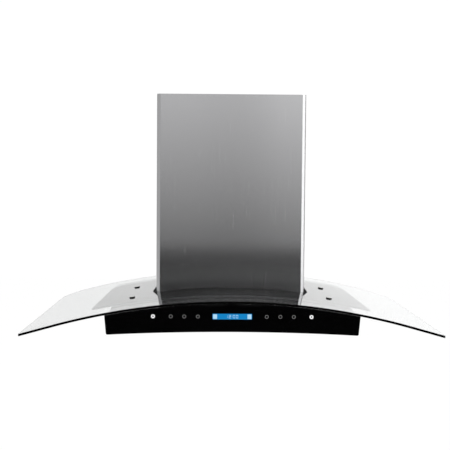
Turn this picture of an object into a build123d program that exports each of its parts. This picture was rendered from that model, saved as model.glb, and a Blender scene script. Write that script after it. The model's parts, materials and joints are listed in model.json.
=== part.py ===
from build123d import *
import os
from math import asin, cos, degrees, radians, sin, sqrt, tan

# Wall-mounted curved glass range hood, in millimetres.
# +Z is up, -Y is the front, the wall is the plane Y = 0 and X = 0 is the middle.
# The origin is the centre of the four wall-fixing holes. APEX_Z is the crown of the glass.

# ---- glass canopy ----
APEX_Z = -130.0
GLASS_WIDTH = 900.0
GLASS_TAPER = 33.2  # how far each side draws in towards the rear
GLASS_DEPTH = 498.0
GLASS_WALL_GAP = 2.0
GLASS_THICKNESS = 5.0
GLASS_RADIUS = 1420.0  # of the top face, where the glass is bent
GLASS_BEND_HALF = 378.0  # past this the two wings are straight
GLASS_REAR_CORNER = 48.0
GLASS_FRONT_CORNER = 4.0
GLASS_SCREW_X = 221.5
GLASS_SCREW_SETBACK = 158.0  # front pair, from the front edge of the glass
GLASS_SCREW_REAR_Y = -180.0
GLASS_HOLE_R = 6.0
GLASS_REAR_WIDTH = GLASS_WIDTH - 2 * GLASS_TAPER
GLASS_REAR_Y = -GLASS_WALL_GAP
GLASS_FRONT_Y = GLASS_REAR_Y - GLASS_DEPTH
GLASS_SCREW_YS = (GLASS_FRONT_Y + GLASS_SCREW_SETBACK, GLASS_SCREW_REAR_Y)

# ---- gasket and support plate under the glass ----
GASKET_THICKNESS = 2.0
PLATE_THICKNESS = 1.5
PLATE_FRONT_HALF = 306.5
PLATE_REAR_HALF = 281.5
PLATE_SETBACK = 105.0  # from the front edge of the glass
PLATE_FRONT_Y = GLASS_FRONT_Y + PLATE_SETBACK
PLATE_REAR_Y = -45.0
PLATE_FRONT_CORNER = 6.0
PLATE_REAR_CORNER = 26.0
GASKET_REAR_Y = -90.0  # the gasket stops short of the rear edge of the plate
GASKET_REAR_HALF = 284.7
GASKET_REAR_CORNER = 34.0

# ---- body below the glass ----
BODY_HALF_WIDTH = 262.0
BODY_SETBACK = 22.0  # from the front edge of the glass to the body's front wall
BODY_FRONT_Y = GLASS_FRONT_Y + BODY_SETBACK
BODY_REAR_Y = -47.0
BODY_HEIGHT = 66.0  # from the crown of the glass down to the underside
SIDE_WALL = 1.2
BOTTOM_WALL = 1.5
COVER_DROP = 4.0  # air gap between the glass and the front cover
COVER_THICKNESS = 1.2
COVER_REAR_GAP = 1.0  # from the front cover to the support plate

# ---- fascia and controls ----
FASCIA_SETBACK = 1.0  # from the front edge of the glass
FASCIA_FRONT_Y = GLASS_FRONT_Y + FASCIA_SETBACK
FASCIA_THICKNESS = 4.0
FASCIA_TOP_HALF = 272.0  # at the height of the crown
FASCIA_BOTTOM_HALF = 265.5
FASCIA_HEIGHT = 65.0  # from the crown down to the middle of the lower edge
FASCIA_ARCH = 7.0  # how much lower the ends of the lower edge are
FASCIA_CORNER = 3.5
FASCIA_GLASS_GAP = 0.3
CARRIER_INSET = 1.5
CARRIER_WALL = 2.0
CONTROL_DROP = 32.3  # from the crown down to the row of controls
CONTROL_Z = APEX_Z - CONTROL_DROP
DISPLAY_X = -0.8
DISPLAY_WIDTH = 83.0
DISPLAY_HEIGHT = 12.5
DISPLAY_CORNER = 1.2
DISPLAY_FRAME = 4.5
DISPLAY_DEPTH = 5.5
WINDOW_CLEARANCE = 0.1
TOUCH_XS = (-167.0, -129.8, -101.5, -72.9, 71.6, 100.2, 128.6, 165.7)
TOUCH_PAD_R = 4.5
BOARD_HALF_WIDTH = 182.0
BOARD_TOP_RISE = 6.6
BOARD_DROP = 11.5
BOARD_THICKNESS = 1.6
BOSS_R = 3.0
BOSS_XS = (-150.0, -86.0, 86.0, 150.0)

# ---- control box in the front of the body ----
BOX_LEFT = -130.0
BOX_WIDTH = 120.0
BOX_X = (BOX_LEFT, BOX_LEFT + BOX_WIDTH)
BOX_DEPTH = 36.0
BOX_HEIGHT = 33.0
BOX_WALL = 1.5
BOX_FRONT_GAP = 3.0
POWER_BOARD_RISE = 3.0
POWER_POST = 4.0  # square posts under the power board
POWER_BLOCK_XS = (-88.0, -52.0, -26.0)  # transformer, relay and terminal block
POWER_BLOCK_WIDTHS = (30.0, 22.0, 14.0)
POWER_BLOCK_HEIGHTS = (15.0, 12.0, 10.0)
POWER_BLOCK_DEPTH_SHARE = 2 / 3
RIBBON_X = (-75.0, -55.0)
RIBBON_THICKNESS = 1.0
RIBBON_CLEARANCE = 0.5

# ---- lamps ----
LAMP_X = 165.0
LAMP_SETBACK = 24.5  # behind the body's front wall
LAMP_Y = BODY_FRONT_Y + LAMP_SETBACK
LAMP_HOLE_R = 18.0
LAMP_RIM = 3.0
LAMP_RIM_THICKNESS = 1.5
LAMP_TUBE_WALL = 2.0
LAMP_TUBE_HEIGHT = 12.0
LAMP_BODY_HEIGHT = 15.0
LAMP_FIN_COUNT = 5
LAMP_FIN_THICKNESS = 1.6
LAMP_FIN_HEIGHT = 6.0
LAMP_FIN_ROOT = 1.0  # sunk into the lamp body
LAMP_FIN_SPAN = 0.8  # share of the lamp body's width
LAMP_HOLE_CLEARANCE = 0.5
LAMP_LENS_CLEARANCE = 0.1
LAMP_LENS_INSET = 0.3
LAMP_LENS_RISE = 1.0  # its back face, above the underside of the body
LAMP_BODY_CLEARANCE = 0.2

# ---- filters and their openings ----
RAIL_HALF = 6.0  # the rail between the two filter openings
OPENING_HALF = 250.0
OPENING_SETBACK = 48.0  # behind the body's front wall
OPENING_REAR_Y = -80.0
OPENING_Y = (BODY_FRONT_Y + OPENING_SETBACK, OPENING_REAR_Y)
FILTER_CLEARANCE = 1.5
FILTER_THICKNESS = 14.0
FILTER_SIDE_RAIL = 12.0
FILTER_FRONT_RAIL = 30.0
FILTER_LIP = 1.0
FILTER_LIP_WIDTH = 4.0
FILTER_HEEL_R = 2.0
TAB_WIDTH = 30.0
TAB_SPACING = 140.0
TAB_REACH = 10.0
TAB_THICKNESS = 1.3
TAB_ROOT = 1.0  # sunk into the filter frame
BAFFLE_COUNT = 7
BAFFLE_GAP = 12.0
BAFFLE_SHEET = 0.8
BAFFLE_LEG = 5.0
BAFFLE_BAR = 6.0
REST_GAP = 0.3

# ---- filter handle and latch ----
HANDLE_WIDTH = 80.0
HANDLE_STRAP = 8.0
HANDLE_THICKNESS = 2.0
HANDLE_DROP = 12.0
HANDLE_REAR_INSET = 3.0
LATCH_TRAVEL = 8.0
LATCH_REACH = 6.0
LATCH_HALF = 15.5
LATCH_DEPTH = 12.0
LATCH_TONGUE_HALF = 10.0
LATCH_THICKNESS = 3.4
LATCH_NUB_HALF = 7.5
LATCH_NUB_DEPTH = 5.0
LATCH_NUB_DROP = 6.0
LATCH_NUB_INSET = 1.0
LATCH_SPRING_LENGTH = 12.5
LATCH_SPRING_R = 1.3
LATCH_SPRING_WIRE = 0.5
LATCH_SPRING_TURNS = 6
LATCH_SIDE_GAP = 0.5

# ---- blower ----
CASING_HALF_WIDTH = 142.0
CASING_FRONT_Y = -262.5
CASING_TOP_Z = 95.0
CASING_WALL = 1.2
CASING_FLANGE = 12.0
NOTCH_GAP = 2.0
AIR_HOLE_HALF = 135.0
AIR_HOLE_Y = (-256.0, -52.0)
WALL_PLATE_THICKNESS = 2.5
WALL_PLATE_HALF = 157.0
WALL_PLATE_RISE = 90.0
WALL_HOLE_X = 149.0
WALL_HOLE_Z = 70.0
WALL_HOLE_R = 4.0
SCROLL_Y = -100.0
SCROLL_Z = -30.0
SCROLL_HALF_WIDTH = 68.0
SCROLL_WALL = 1.5
SCROLL_RADIUS = 92.0
SCROLL_STEP = 9.0  # growth of the radius in each quarter turn
SCROLL_FLARE = 25.0
INLET_R = 66.0
IMPELLER_R = 80.0
IMPELLER_HALF_WIDTH = 60.0
BLADE_COUNT = 36
BLADE_LENGTH = 13.0
BLADE_THICKNESS = 1.2
BLADE_ANGLE = 28.0
BLADE_INSET = 1.0  # from the rim of the impeller
IMPELLER_SHEET = 2.0
RING_WIDTH = 14.0
HUB_R = 12.0
HUB_X = (-12.0, 14.0)
SHAFT_R = 5.0
SHAFT_RUNNING_GAP = 0.05
SHAFT_END_GAP = 1.0  # to the bottom of the motor's bore
SHAFT_END_X = 21.0
ROTOR_NUT_R = 9.0
ROTOR_NUT_LENGTH = 6.0
MOTOR_R = 44.0
MOTOR_X = (-128.0, -76.0)
MOTOR_BORE_DEPTH = 38.0
MOTOR_EDGE_R = 5.0
BRACKET_SHEET = 2.0
BRACKET_ARM_WIDTH = 12.0
BRACKET_POST_AT = 79.0
BRACKET_POST_R = 5.0
BRACKET_HOLE_R = 10.0
BRACKET_ARM_COUNT = 3
CAPACITOR_R = 16.0
CAPACITOR_LENGTH = 60.0
CAPACITOR_EDGE_R = 2.0
CAPACITOR_Y = -230.0
CAPACITOR_Z = -80.0

# ---- duct collar and its damper ----
COLLAR_R = 75.0
COLLAR_WALL = 1.2
COLLAR_HEIGHT = 60.0
COLLAR_FLANGE = 11.0
DUCT_HOLE_R = 71.0
AXLE_HEIGHT = 22.0
AXLE_R = 2.5
AXLE_END_INSET = 0.2
AXLE_RUNNING_GAP = 0.05
FLAP_THICKNESS = 1.2
FLAP_RIM_GAP = 0.6
FLAP_ROOT = 1.0  # how far the knuckles' tongues run into the flap
KNUCKLE_R = 4.0
KNUCKLE_GAP = 0.5
KNUCKLE_ENDS = (2.0, 32.0, 34.0, 66.0)
STOP_WIDTH = 2.5
STOP_THICKNESS = 1.5

# ---- cable ----
GLAND_X = -112.0
GLAND_Y = -40.0
GLAND_HEX_R = 11.0
GLAND_HEX_HEIGHT = 8.0
GLAND_DOME_R = 8.5
GLAND_HEIGHT = 22.0
GLAND_STEM_R = 7.5
GLAND_STEM_DROP = 7.0
GLAND_BORE_R = 4.5
GLAND_EDGE_R = 3.0
CABLE_R = 3.5
CABLE_BEND_R = 100.0
CABLE_DROP = 38.0  # below the crown, where it enters the control box
CABLE_Z = APEX_Z - CABLE_DROP

# ---- chimney ----
CHIMNEY_HALF_WIDTH = 170.5
CHIMNEY_FRONT_Y = -297.0
CHIMNEY_REAR_Y = -0.5
CHIMNEY_RISE = 443.0  # above the crown
CHIMNEY_TOP_Z = APEX_Z + CHIMNEY_RISE
CHIMNEY_BEVEL = 9.5
CHIMNEY_SHEET = 1.2
CHIMNEY_LIP = 10.0
CHIMNEY_FOLD_R = 2.0
CHIMNEY_GLASS_GAP = 0.2
SLIDE_GAP = 0.8
UPPER_REAR_Y = -4.5
UPPER_LIP = 8.0
UPPER_TOP_DROP = 2.0
TIE_Z = (-122.0, -102.0)
TIE_Y = (-200.0, -170.0)
TIE_SHEET = 1.2
TIE_SCREW_R = 2.0
CEILING_STRAP_HALF = 158.0
CEILING_SHEET = 1.5
CEILING_BRACKET_DROP = 19.0  # below the top of the upper chimney
CEILING_BRACKET_HEIGHT = 30.0
CEILING_ARM_Y = -50.0
CEILING_FOOT_Y = -80.0
CEILING_HOLE_X = 100.0
CEILING_HOLE_R = 3.0
CLIP_WIDTH = 8.0
CLIP_HEIGHT = 10.0
CLIP_TOE_DROP = 1.0
CLIP_Y = (-287.0, -275.0)

# ---- fasteners ----
SCREW_R = 2.5
SCREW_HEAD_R = 4.5
SCREW_HEAD_HEIGHT = 2.0
SCREW_TIP = 1.0  # past the nut
NUT_R = 4.6
NUT_HEIGHT = 4.0
NUT_SEAT_GAP = 0.05  # the plate is curved and the nut is flat
BUSH_CLEARANCE = 0.1
BUSH_FLANGE = 0.6
CAP_R = 6.5
CAP_HEIGHT = 3.4
CAP_EDGE_R = 0.9
CAP_CLEARANCE = 0.1
SMALL_SCREW_R = 2.0
SMALL_HEAD_R = 4.0
SMALL_HEAD_HEIGHT = 2.2
SMALL_SCREW_LENGTH = 6.0
CASING_SCREW_YS = (-200.0, -60.0)
CASING_FRONT_SCREW_X = 90.0

# ---- sizes that follow from the ones above ----
FAR = 600.0  # past every edge of the hood
DEEP = 150.0  # below the crown, past the lowest glass inside the chimney
GASKET_BOTTOM = GLASS_THICKNESS + GASKET_THICKNESS
PLATE_BOTTOM = GASKET_BOTTOM + PLATE_THICKNESS
COVER_TOP = GLASS_THICKNESS + COVER_DROP
COVER_BOTTOM = COVER_TOP + COVER_THICKNESS
BODY_BOTTOM_Z = APEX_Z - BODY_HEIGHT
FLOOR_Z = BODY_BOTTOM_Z + BOTTOM_WALL  # top of the body's bottom sheet
FASCIA_BACK_Y = FASCIA_FRONT_Y + FASCIA_THICKNESS
BOARD_FRONT_Y = FASCIA_BACK_Y + DISPLAY_DEPTH
BOARD_BACK_Y = BOARD_FRONT_Y + BOARD_THICKNESS
CARRIER_FLOOR_Y = BODY_FRONT_Y - CARRIER_WALL
CASING_REAR_Y = -WALL_PLATE_THICKNESS
NOTCH_HALF = CASING_HALF_WIDTH + CASING_FLANGE + NOTCH_GAP
NOTCH_FRONT_Y = CASING_FRONT_Y - CASING_FLANGE - NOTCH_GAP
FLANGE_MIDDLE = CASING_FLANGE / 2
DUCT_Y = SCROLL_Y + (SCROLL_FLARE - SCROLL_RADIUS - 3 * SCROLL_STEP) / 2
AXLE_Z = CASING_TOP_Z + AXLE_HEIGHT
BOX_REAR_Y = BODY_FRONT_Y + SIDE_WALL + BOX_FRONT_GAP + BOX_DEPTH
FILTER_HALF = (OPENING_HALF - RAIL_HALF) / 2 - FILTER_CLEARANCE
FILTER_X = (OPENING_HALF + RAIL_HALF) / 2
FILTER_Y = (OPENING_Y[0] + FILTER_CLEARANCE, OPENING_Y[1] - FILTER_CLEARANCE)
FILTER_TOP_Z = BODY_BOTTOM_Z + FILTER_THICKNESS
POCKET_Z = (FLOOR_Z, FLOOR_Z + LATCH_THICKNESS + 2 * REST_GAP)
LATCH_FRONT_Y = FILTER_Y[0] + FILTER_CLEARANCE
LATCH_REAR_Y = LATCH_FRONT_Y + LATCH_DEPTH
POCKET_REAR_Y = LATCH_REAR_Y + LATCH_SPRING_LENGTH
UPPER_OFFSET = CHIMNEY_SHEET + SLIDE_GAP
UPPER_HALF_WIDTH = CHIMNEY_HALF_WIDTH - UPPER_OFFSET
UPPER_FRONT_Y = CHIMNEY_FRONT_Y + UPPER_OFFSET
UPPER_TOP_Z = CHIMNEY_TOP_Z - UPPER_TOP_DROP
CEILING_BRACKET_TOP = UPPER_TOP_Z - CEILING_BRACKET_DROP
CEILING_Z = (CEILING_BRACKET_TOP - CEILING_BRACKET_HEIGHT, CEILING_BRACKET_TOP)
UPPER_BOTTOM_Z = TIE_Z[1] + REST_GAP  # it stands on the brackets when it is down

os.makedirs("parts", exist_ok=True)


# ---- helpers ----
def save(name, *solids):
    """Write one node; several solids are kept apart as a group."""
    shape = solids[0] if len(solids) == 1 else Compound(children=list(solids))
    export_step(shape, f"parts/{name}.step")


def block(x, y, z):
    """A box from three (low, high) pairs."""
    centre = Pos((x[0] + x[1]) / 2, (y[0] + y[1]) / 2, (z[0] + z[1]) / 2)
    return centre * Box(x[1] - x[0], y[1] - y[0], z[1] - z[0])


def rod(radius, start, end, axis="Z"):
    """A cylinder about the named axis through the origin, from start to end along it."""
    turn = {"X": Rot(0, 90, 0), "Y": Rot(-90, 0, 0), "Z": Rot(0, 0, 0)}[axis]
    return turn * Pos(0, 0, (start + end) / 2) * Cylinder(radius, end - start)


def prism(sides, radius, start, end):
    """An upright prism, such as a nut."""
    return Pos(0, 0, start) * extrude(RegularPolygon(radius, sides), amount=end - start)


def upright(plan, low=-FAR, high=FAR):
    """A plan outline drawn up between two heights."""
    return Pos(0, 0, low) * extrude(plan, amount=high - low)


def both_sides(solid):
    return solid, mirror(solid, about=Plane.YZ)


def under_glass(depth):
    """Everything below the surface that lies this far under the top face of the glass."""
    angle = asin(GLASS_BEND_HALF / GLASS_RADIUS)
    radius = GLASS_RADIUS - depth
    bend_x = radius * sin(angle)
    bend_z = APEX_Z - GLASS_RADIUS + radius * cos(angle)
    out_z = bend_z - (FAR - bend_x) * tan(angle)
    edge = ThreePointArc((-bend_x, bend_z), (0, APEX_Z - depth), (bend_x, bend_z))
    rest = Polyline(
        (bend_x, bend_z),
        (FAR, out_z),
        (FAR, APEX_Z - FAR),
        (-FAR, APEX_Z - FAR),
        (-FAR, out_z),
        (-bend_x, bend_z),
    )
    return Pos(0, FAR, 0) * extrude(Plane.XZ * make_face([edge, rest]), amount=2 * FAR)


def curved_sheet(plan, top, bottom):
    """A sheet that follows the glass between two depths, with the given plan."""
    return upright(plan) & (under_glass(top) - under_glass(bottom))


def on_glass(x, y):
    """A place on the top face of the glass, with its Z axis square to it."""
    angle = asin(x / GLASS_RADIUS)
    height = APEX_Z - GLASS_RADIUS + GLASS_RADIUS * cos(angle)
    return Pos(x, y, height) * Rot(0, degrees(angle), 0)


def rectangle(x, y):
    """A plan rectangle from two (low, high) pairs."""
    centre = Pos((x[0] + x[1]) / 2, (y[0] + y[1]) / 2)
    return centre * Rectangle(x[1] - x[0], y[1] - y[0])


def trapezoid(front_half, rear_half, front_y, rear_y, front_corner, rear_corner):
    """A plan that narrows to the rear, with rounded corners."""
    corners = (
        (-front_half, front_y),
        (front_half, front_y),
        (rear_half, rear_y),
        (-rear_half, rear_y),
    )
    plan = Polygon(*corners, align=None)
    middle = (front_y + rear_y) / 2
    plan = fillet(plan.vertices().filter_by(lambda v: v.Y > middle), rear_corner)
    return fillet(plan.vertices().filter_by(lambda v: v.Y < middle), front_corner)


GLASS_SCREW_PLACES = [
    on_glass(side * GLASS_SCREW_X, y) for side in (-1, 1) for y in GLASS_SCREW_YS
]
CASING_SCREW_PLACES = [
    on_glass(side * (CASING_HALF_WIDTH + FLANGE_MIDDLE), y)
    for side in (-1, 1)
    for y in CASING_SCREW_YS
] + [
    on_glass(side * CASING_FRONT_SCREW_X, CASING_FRONT_Y - FLANGE_MIDDLE) for side in (-1, 1)
]


# ---- glass canopy and what holds it ----
def make_glass():
    plan = trapezoid(
        GLASS_WIDTH / 2,
        GLASS_REAR_WIDTH / 2,
        GLASS_FRONT_Y,
        GLASS_REAR_Y,
        GLASS_FRONT_CORNER,
        GLASS_REAR_CORNER,
    )
    notch = rectangle((-NOTCH_HALF, NOTCH_HALF), (NOTCH_FRONT_Y, FAR))
    glass = curved_sheet(plan - notch, 0, GLASS_THICKNESS)
    for place in GLASS_SCREW_PLACES:
        glass -= place * rod(GLASS_HOLE_R, -2 * GLASS_THICKNESS, GLASS_THICKNESS)
    save("glass_canopy", glass)


def make_support():
    plan = trapezoid(
        PLATE_FRONT_HALF,
        PLATE_REAR_HALF,
        PLATE_FRONT_Y,
        PLATE_REAR_Y,
        PLATE_FRONT_CORNER,
        PLATE_REAR_CORNER,
    )
    gasket_plan = trapezoid(
        PLATE_FRONT_HALF,
        GASKET_REAR_HALF,
        PLATE_FRONT_Y,
        GASKET_REAR_Y,
        PLATE_FRONT_CORNER,
        GASKET_REAR_CORNER,
    )
    notch = rectangle((-NOTCH_HALF, NOTCH_HALF), (NOTCH_FRONT_Y, FAR))
    gasket = curved_sheet(gasket_plan - notch, GLASS_THICKNESS, GASKET_BOTTOM)
    tongue = rectangle((-NOTCH_HALF, NOTCH_HALF), (NOTCH_FRONT_Y, CASING_REAR_Y))
    air_hole = rectangle((-AIR_HOLE_HALF, AIR_HOLE_HALF), AIR_HOLE_Y)
    plate = curved_sheet(plan + tongue - air_hole, GASKET_BOTTOM, PLATE_BOTTOM)
    for place in GLASS_SCREW_PLACES:
        gasket -= place * rod(GLASS_HOLE_R, -2 * GASKET_BOTTOM, 0)
        plate -= place * rod(SCREW_R, -2 * PLATE_BOTTOM, 0)
    for place in CASING_SCREW_PLACES:
        plate -= place * rod(SMALL_SCREW_R, -2 * PLATE_BOTTOM, 0)
    save("glass_gasket", gasket)
    save("support_plate", plate)


def make_glass_fasteners():
    nut_top = -PLATE_BOTTOM - NUT_SEAT_GAP
    shank_end = nut_top - NUT_HEIGHT - SCREW_TIP
    head_top = BUSH_FLANGE + SCREW_HEAD_HEIGHT
    screw = rod(SCREW_R, shank_end, head_top) + rod(SCREW_HEAD_R, BUSH_FLANGE, head_top)
    nut = prism(6, NUT_R, nut_top - NUT_HEIGHT, nut_top) - rod(SCREW_R, shank_end, 0)
    bush = rod(GLASS_HOLE_R - BUSH_CLEARANCE, -GLASS_THICKNESS, BUSH_FLANGE)
    bush += rod(CAP_R, 0, BUSH_FLANGE)
    bush -= rod(SCREW_R + BUSH_CLEARANCE, -GLASS_THICKNESS, BUSH_FLANGE)
    cap = rod(CAP_R, BUSH_FLANGE, CAP_HEIGHT)
    cap = fillet(cap.edges().filter_by(GeomType.CIRCLE).sort_by(Axis.Z)[-1], CAP_EDGE_R)
    cap -= rod(SCREW_HEAD_R + CAP_CLEARANCE, BUSH_FLANGE, head_top + CAP_CLEARANCE)
    for name, piece in (
        ("glass_screws", screw),
        ("glass_nuts", nut),
        ("glass_bushes", bush),
        ("screw_caps", cap),
    ):
        save(name, *[place * piece for place in GLASS_SCREW_PLACES])


# ---- body, cover, fascia and controls ----
def make_body():
    x = (-BODY_HALF_WIDTH, BODY_HALF_WIDTH)
    y = (BODY_FRONT_Y, BODY_REAR_Y)
    inside_x = (x[0] + SIDE_WALL, x[1] - SIDE_WALL)
    inside_y = (y[0] + SIDE_WALL, y[1] - SIDE_WALL)
    shell = block(x, y, (BODY_BOTTOM_Z, APEX_Z)) & under_glass(PLATE_BOTTOM)
    shell -= block(inside_x, inside_y, (FLOOR_Z, APEX_Z))
    front_top = block((-FAR, FAR), (-FAR, PLATE_FRONT_Y), (BODY_BOTTOM_Z, APEX_Z))
    shell -= front_top - under_glass(COVER_BOTTOM)
    for side in (-1, 1):
        near, far = sorted((side * RAIL_HALF, side * OPENING_HALF))
        shell -= block((near, far), OPENING_Y, (BODY_BOTTOM_Z, FLOOR_Z))
        shell -= Pos(side * LAMP_X, LAMP_Y, 0) * rod(LAMP_HOLE_R, BODY_BOTTOM_Z, FLOOR_Z)
    shell -= ribbon(RIBBON_CLEARANCE)
    save("body_shell", shell)
    cover_y = (FASCIA_BACK_Y + FASCIA_GLASS_GAP, PLATE_FRONT_Y - COVER_REAR_GAP)
    cover_plan = rectangle(x, cover_y)
    save("front_cover", curved_sheet(cover_plan, COVER_TOP, COVER_BOTTOM))


def fascia_block(inset, front_y, rear_y, top_depth):
    """The fascia's outline drawn in by inset, as a solid between two planes."""
    low = APEX_Z - FASCIA_HEIGHT + inset
    bottom_half = FASCIA_BOTTOM_HALF - inset
    top_half = FASCIA_TOP_HALF - inset
    ends = low - FASCIA_ARCH
    lower_edge = ThreePointArc((-bottom_half, ends), (0, low), (bottom_half, ends))
    rest = Polyline((bottom_half, ends), (top_half, APEX_Z), (-top_half, APEX_Z), (-bottom_half, ends))
    outline = make_face([lower_edge, rest])
    outline = fillet(outline.vertices().sort_by(Axis.Y)[:2], FASCIA_CORNER)
    solid = Pos(0, rear_y, 0) * extrude(Plane.XZ * outline, amount=rear_y - front_y)
    return solid & under_glass(top_depth)


def display_block(shrink, front_y, rear_y):
    outline = RectangleRounded(DISPLAY_WIDTH - 2 * shrink, DISPLAY_HEIGHT - 2 * shrink, DISPLAY_CORNER)
    return Pos(DISPLAY_X, rear_y, CONTROL_Z) * extrude(Plane.XZ * outline, amount=rear_y - front_y)


def ribbon(grow):
    """The flat ribbon from the control box to the touch board, or a slot round it."""
    x = (RIBBON_X[0] - grow, RIBBON_X[1] + grow)
    z = (CABLE_Z - grow, CABLE_Z + RIBBON_THICKNESS + grow)
    return block(x, (BOARD_BACK_Y, BODY_FRONT_Y + SIDE_WALL + BOX_FRONT_GAP), z)


def make_fascia():
    panel = fascia_block(0, FASCIA_FRONT_Y, FASCIA_BACK_Y, GLASS_THICKNESS + FASCIA_GLASS_GAP)
    save("fascia_panel", panel - display_block(0, FASCIA_FRONT_Y, FASCIA_BACK_Y))
    save("display_window", display_block(WINDOW_CLEARANCE, FASCIA_FRONT_Y, FASCIA_BACK_Y))
    carrier = fascia_block(CARRIER_INSET, FASCIA_BACK_Y, BODY_FRONT_Y, COVER_BOTTOM)
    carrier -= fascia_block(
        CARRIER_INSET + CARRIER_WALL, FASCIA_BACK_Y, CARRIER_FLOOR_Y, COVER_BOTTOM + CARRIER_WALL
    )
    for x in BOSS_XS:
        carrier += Pos(x, 0, CONTROL_Z) * rod(BOSS_R, BOARD_BACK_Y, CARRIER_FLOOR_Y, "Y")
    save("fascia_carrier", carrier - ribbon(RIBBON_CLEARANCE))


def make_controls():
    module_x = (
        DISPLAY_X - DISPLAY_WIDTH / 2 - DISPLAY_FRAME,
        DISPLAY_X + DISPLAY_WIDTH / 2 + DISPLAY_FRAME,
    )
    reach = DISPLAY_HEIGHT / 2 + DISPLAY_FRAME
    module = block(module_x, (FASCIA_BACK_Y, BOARD_FRONT_Y), (CONTROL_Z - reach, CONTROL_Z + reach))
    save("display_module", module)
    board_x = (-BOARD_HALF_WIDTH, BOARD_HALF_WIDTH)
    board_z = (CONTROL_Z - BOARD_DROP, CONTROL_Z + BOARD_TOP_RISE)
    save("touch_board", block(board_x, (BOARD_FRONT_Y, BOARD_BACK_Y), board_z))
    pad = rod(TOUCH_PAD_R, FASCIA_BACK_Y, BOARD_FRONT_Y, "Y")
    save("touch_pads", *[Pos(x, 0, CONTROL_Z) * pad for x in TOUCH_XS])
    save("display_ribbon", ribbon(0))


def make_control_box():
    y = (BOX_REAR_Y - BOX_DEPTH, BOX_REAR_Y)
    lid_z = FLOOR_Z + BOX_HEIGHT - BOX_WALL
    tray = block(BOX_X, y, (FLOOR_Z, lid_z))
    inside_x = (BOX_X[0] + BOX_WALL, BOX_X[1] - BOX_WALL)
    inside_y = (y[0] + BOX_WALL, y[1] - BOX_WALL)
    tray -= block(inside_x, inside_y, (FLOOR_Z + BOX_WALL, lid_z))
    tray -= Pos(GLAND_X, 0, CABLE_Z) * rod(CABLE_R, BOX_REAR_Y - BOX_WALL, BOX_REAR_Y, "Y")
    save("control_box", tray)
    save("control_box_lid", block(BOX_X, y, (lid_z, lid_z + BOX_WALL)))
    stand = FLOOR_Z + BOX_WALL
    board_z = (stand + POWER_BOARD_RISE, stand + POWER_BOARD_RISE + BOARD_THICKNESS)
    board = block(inside_x, inside_y, board_z)
    middle_y = (y[0] + y[1]) / 2
    post_y = (middle_y - POWER_POST / 2, middle_y + POWER_POST / 2)
    for x, width, height in zip(POWER_BLOCK_XS, POWER_BLOCK_WIDTHS, POWER_BLOCK_HEIGHTS):
        reach = width * POWER_BLOCK_DEPTH_SHARE / 2
        block_z = (board_z[1], board_z[1] + height)
        board += block((x - width / 2, x + width / 2), (middle_y - reach, middle_y + reach), block_z)
        board += block((x - POWER_POST / 2, x + POWER_POST / 2), post_y, (stand, board_z[0]))
    save("power_board", board)


def make_lamps():
    low = BODY_BOTTOM_Z - LAMP_RIM_THICKNESS
    tube_r = LAMP_HOLE_R - LAMP_HOLE_CLEARANCE
    inner_r = tube_r - LAMP_TUBE_WALL
    bezel = rod(LAMP_HOLE_R + LAMP_RIM, low, BODY_BOTTOM_Z)
    bezel = chamfer(bezel.edges().filter_by(GeomType.CIRCLE).sort_by(Axis.Z)[0], LAMP_RIM_THICKNESS / 2)
    bezel += rod(tube_r, low, BODY_BOTTOM_Z + LAMP_TUBE_HEIGHT)
    bezel -= rod(inner_r, low, BODY_BOTTOM_Z + LAMP_TUBE_HEIGHT)
    lens_back = BODY_BOTTOM_Z + LAMP_LENS_RISE
    lens = rod(inner_r - LAMP_LENS_CLEARANCE, low + LAMP_LENS_INSET, lens_back)
    body_top = lens_back + LAMP_BODY_HEIGHT
    body = rod(inner_r - LAMP_BODY_CLEARANCE, lens_back, body_top)
    fin_z = (body_top - LAMP_FIN_ROOT, body_top + LAMP_FIN_HEIGHT)
    pitch = 2 * inner_r / (LAMP_FIN_COUNT + 1)
    for fin in range(LAMP_FIN_COUNT):
        x = (fin - (LAMP_FIN_COUNT - 1) / 2) * pitch
        half = LAMP_FIN_SPAN * sqrt(inner_r**2 - x**2)
        body += block((x - LAMP_FIN_THICKNESS / 2, x + LAMP_FIN_THICKNESS / 2), (-half, half), fin_z)
    for name, piece in (("lamp_bezels", bezel), ("lamp_lenses", lens), ("lamp_bodies", body)):
        save(name, *both_sides(Pos(LAMP_X, LAMP_Y, 0) * piece))


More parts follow.
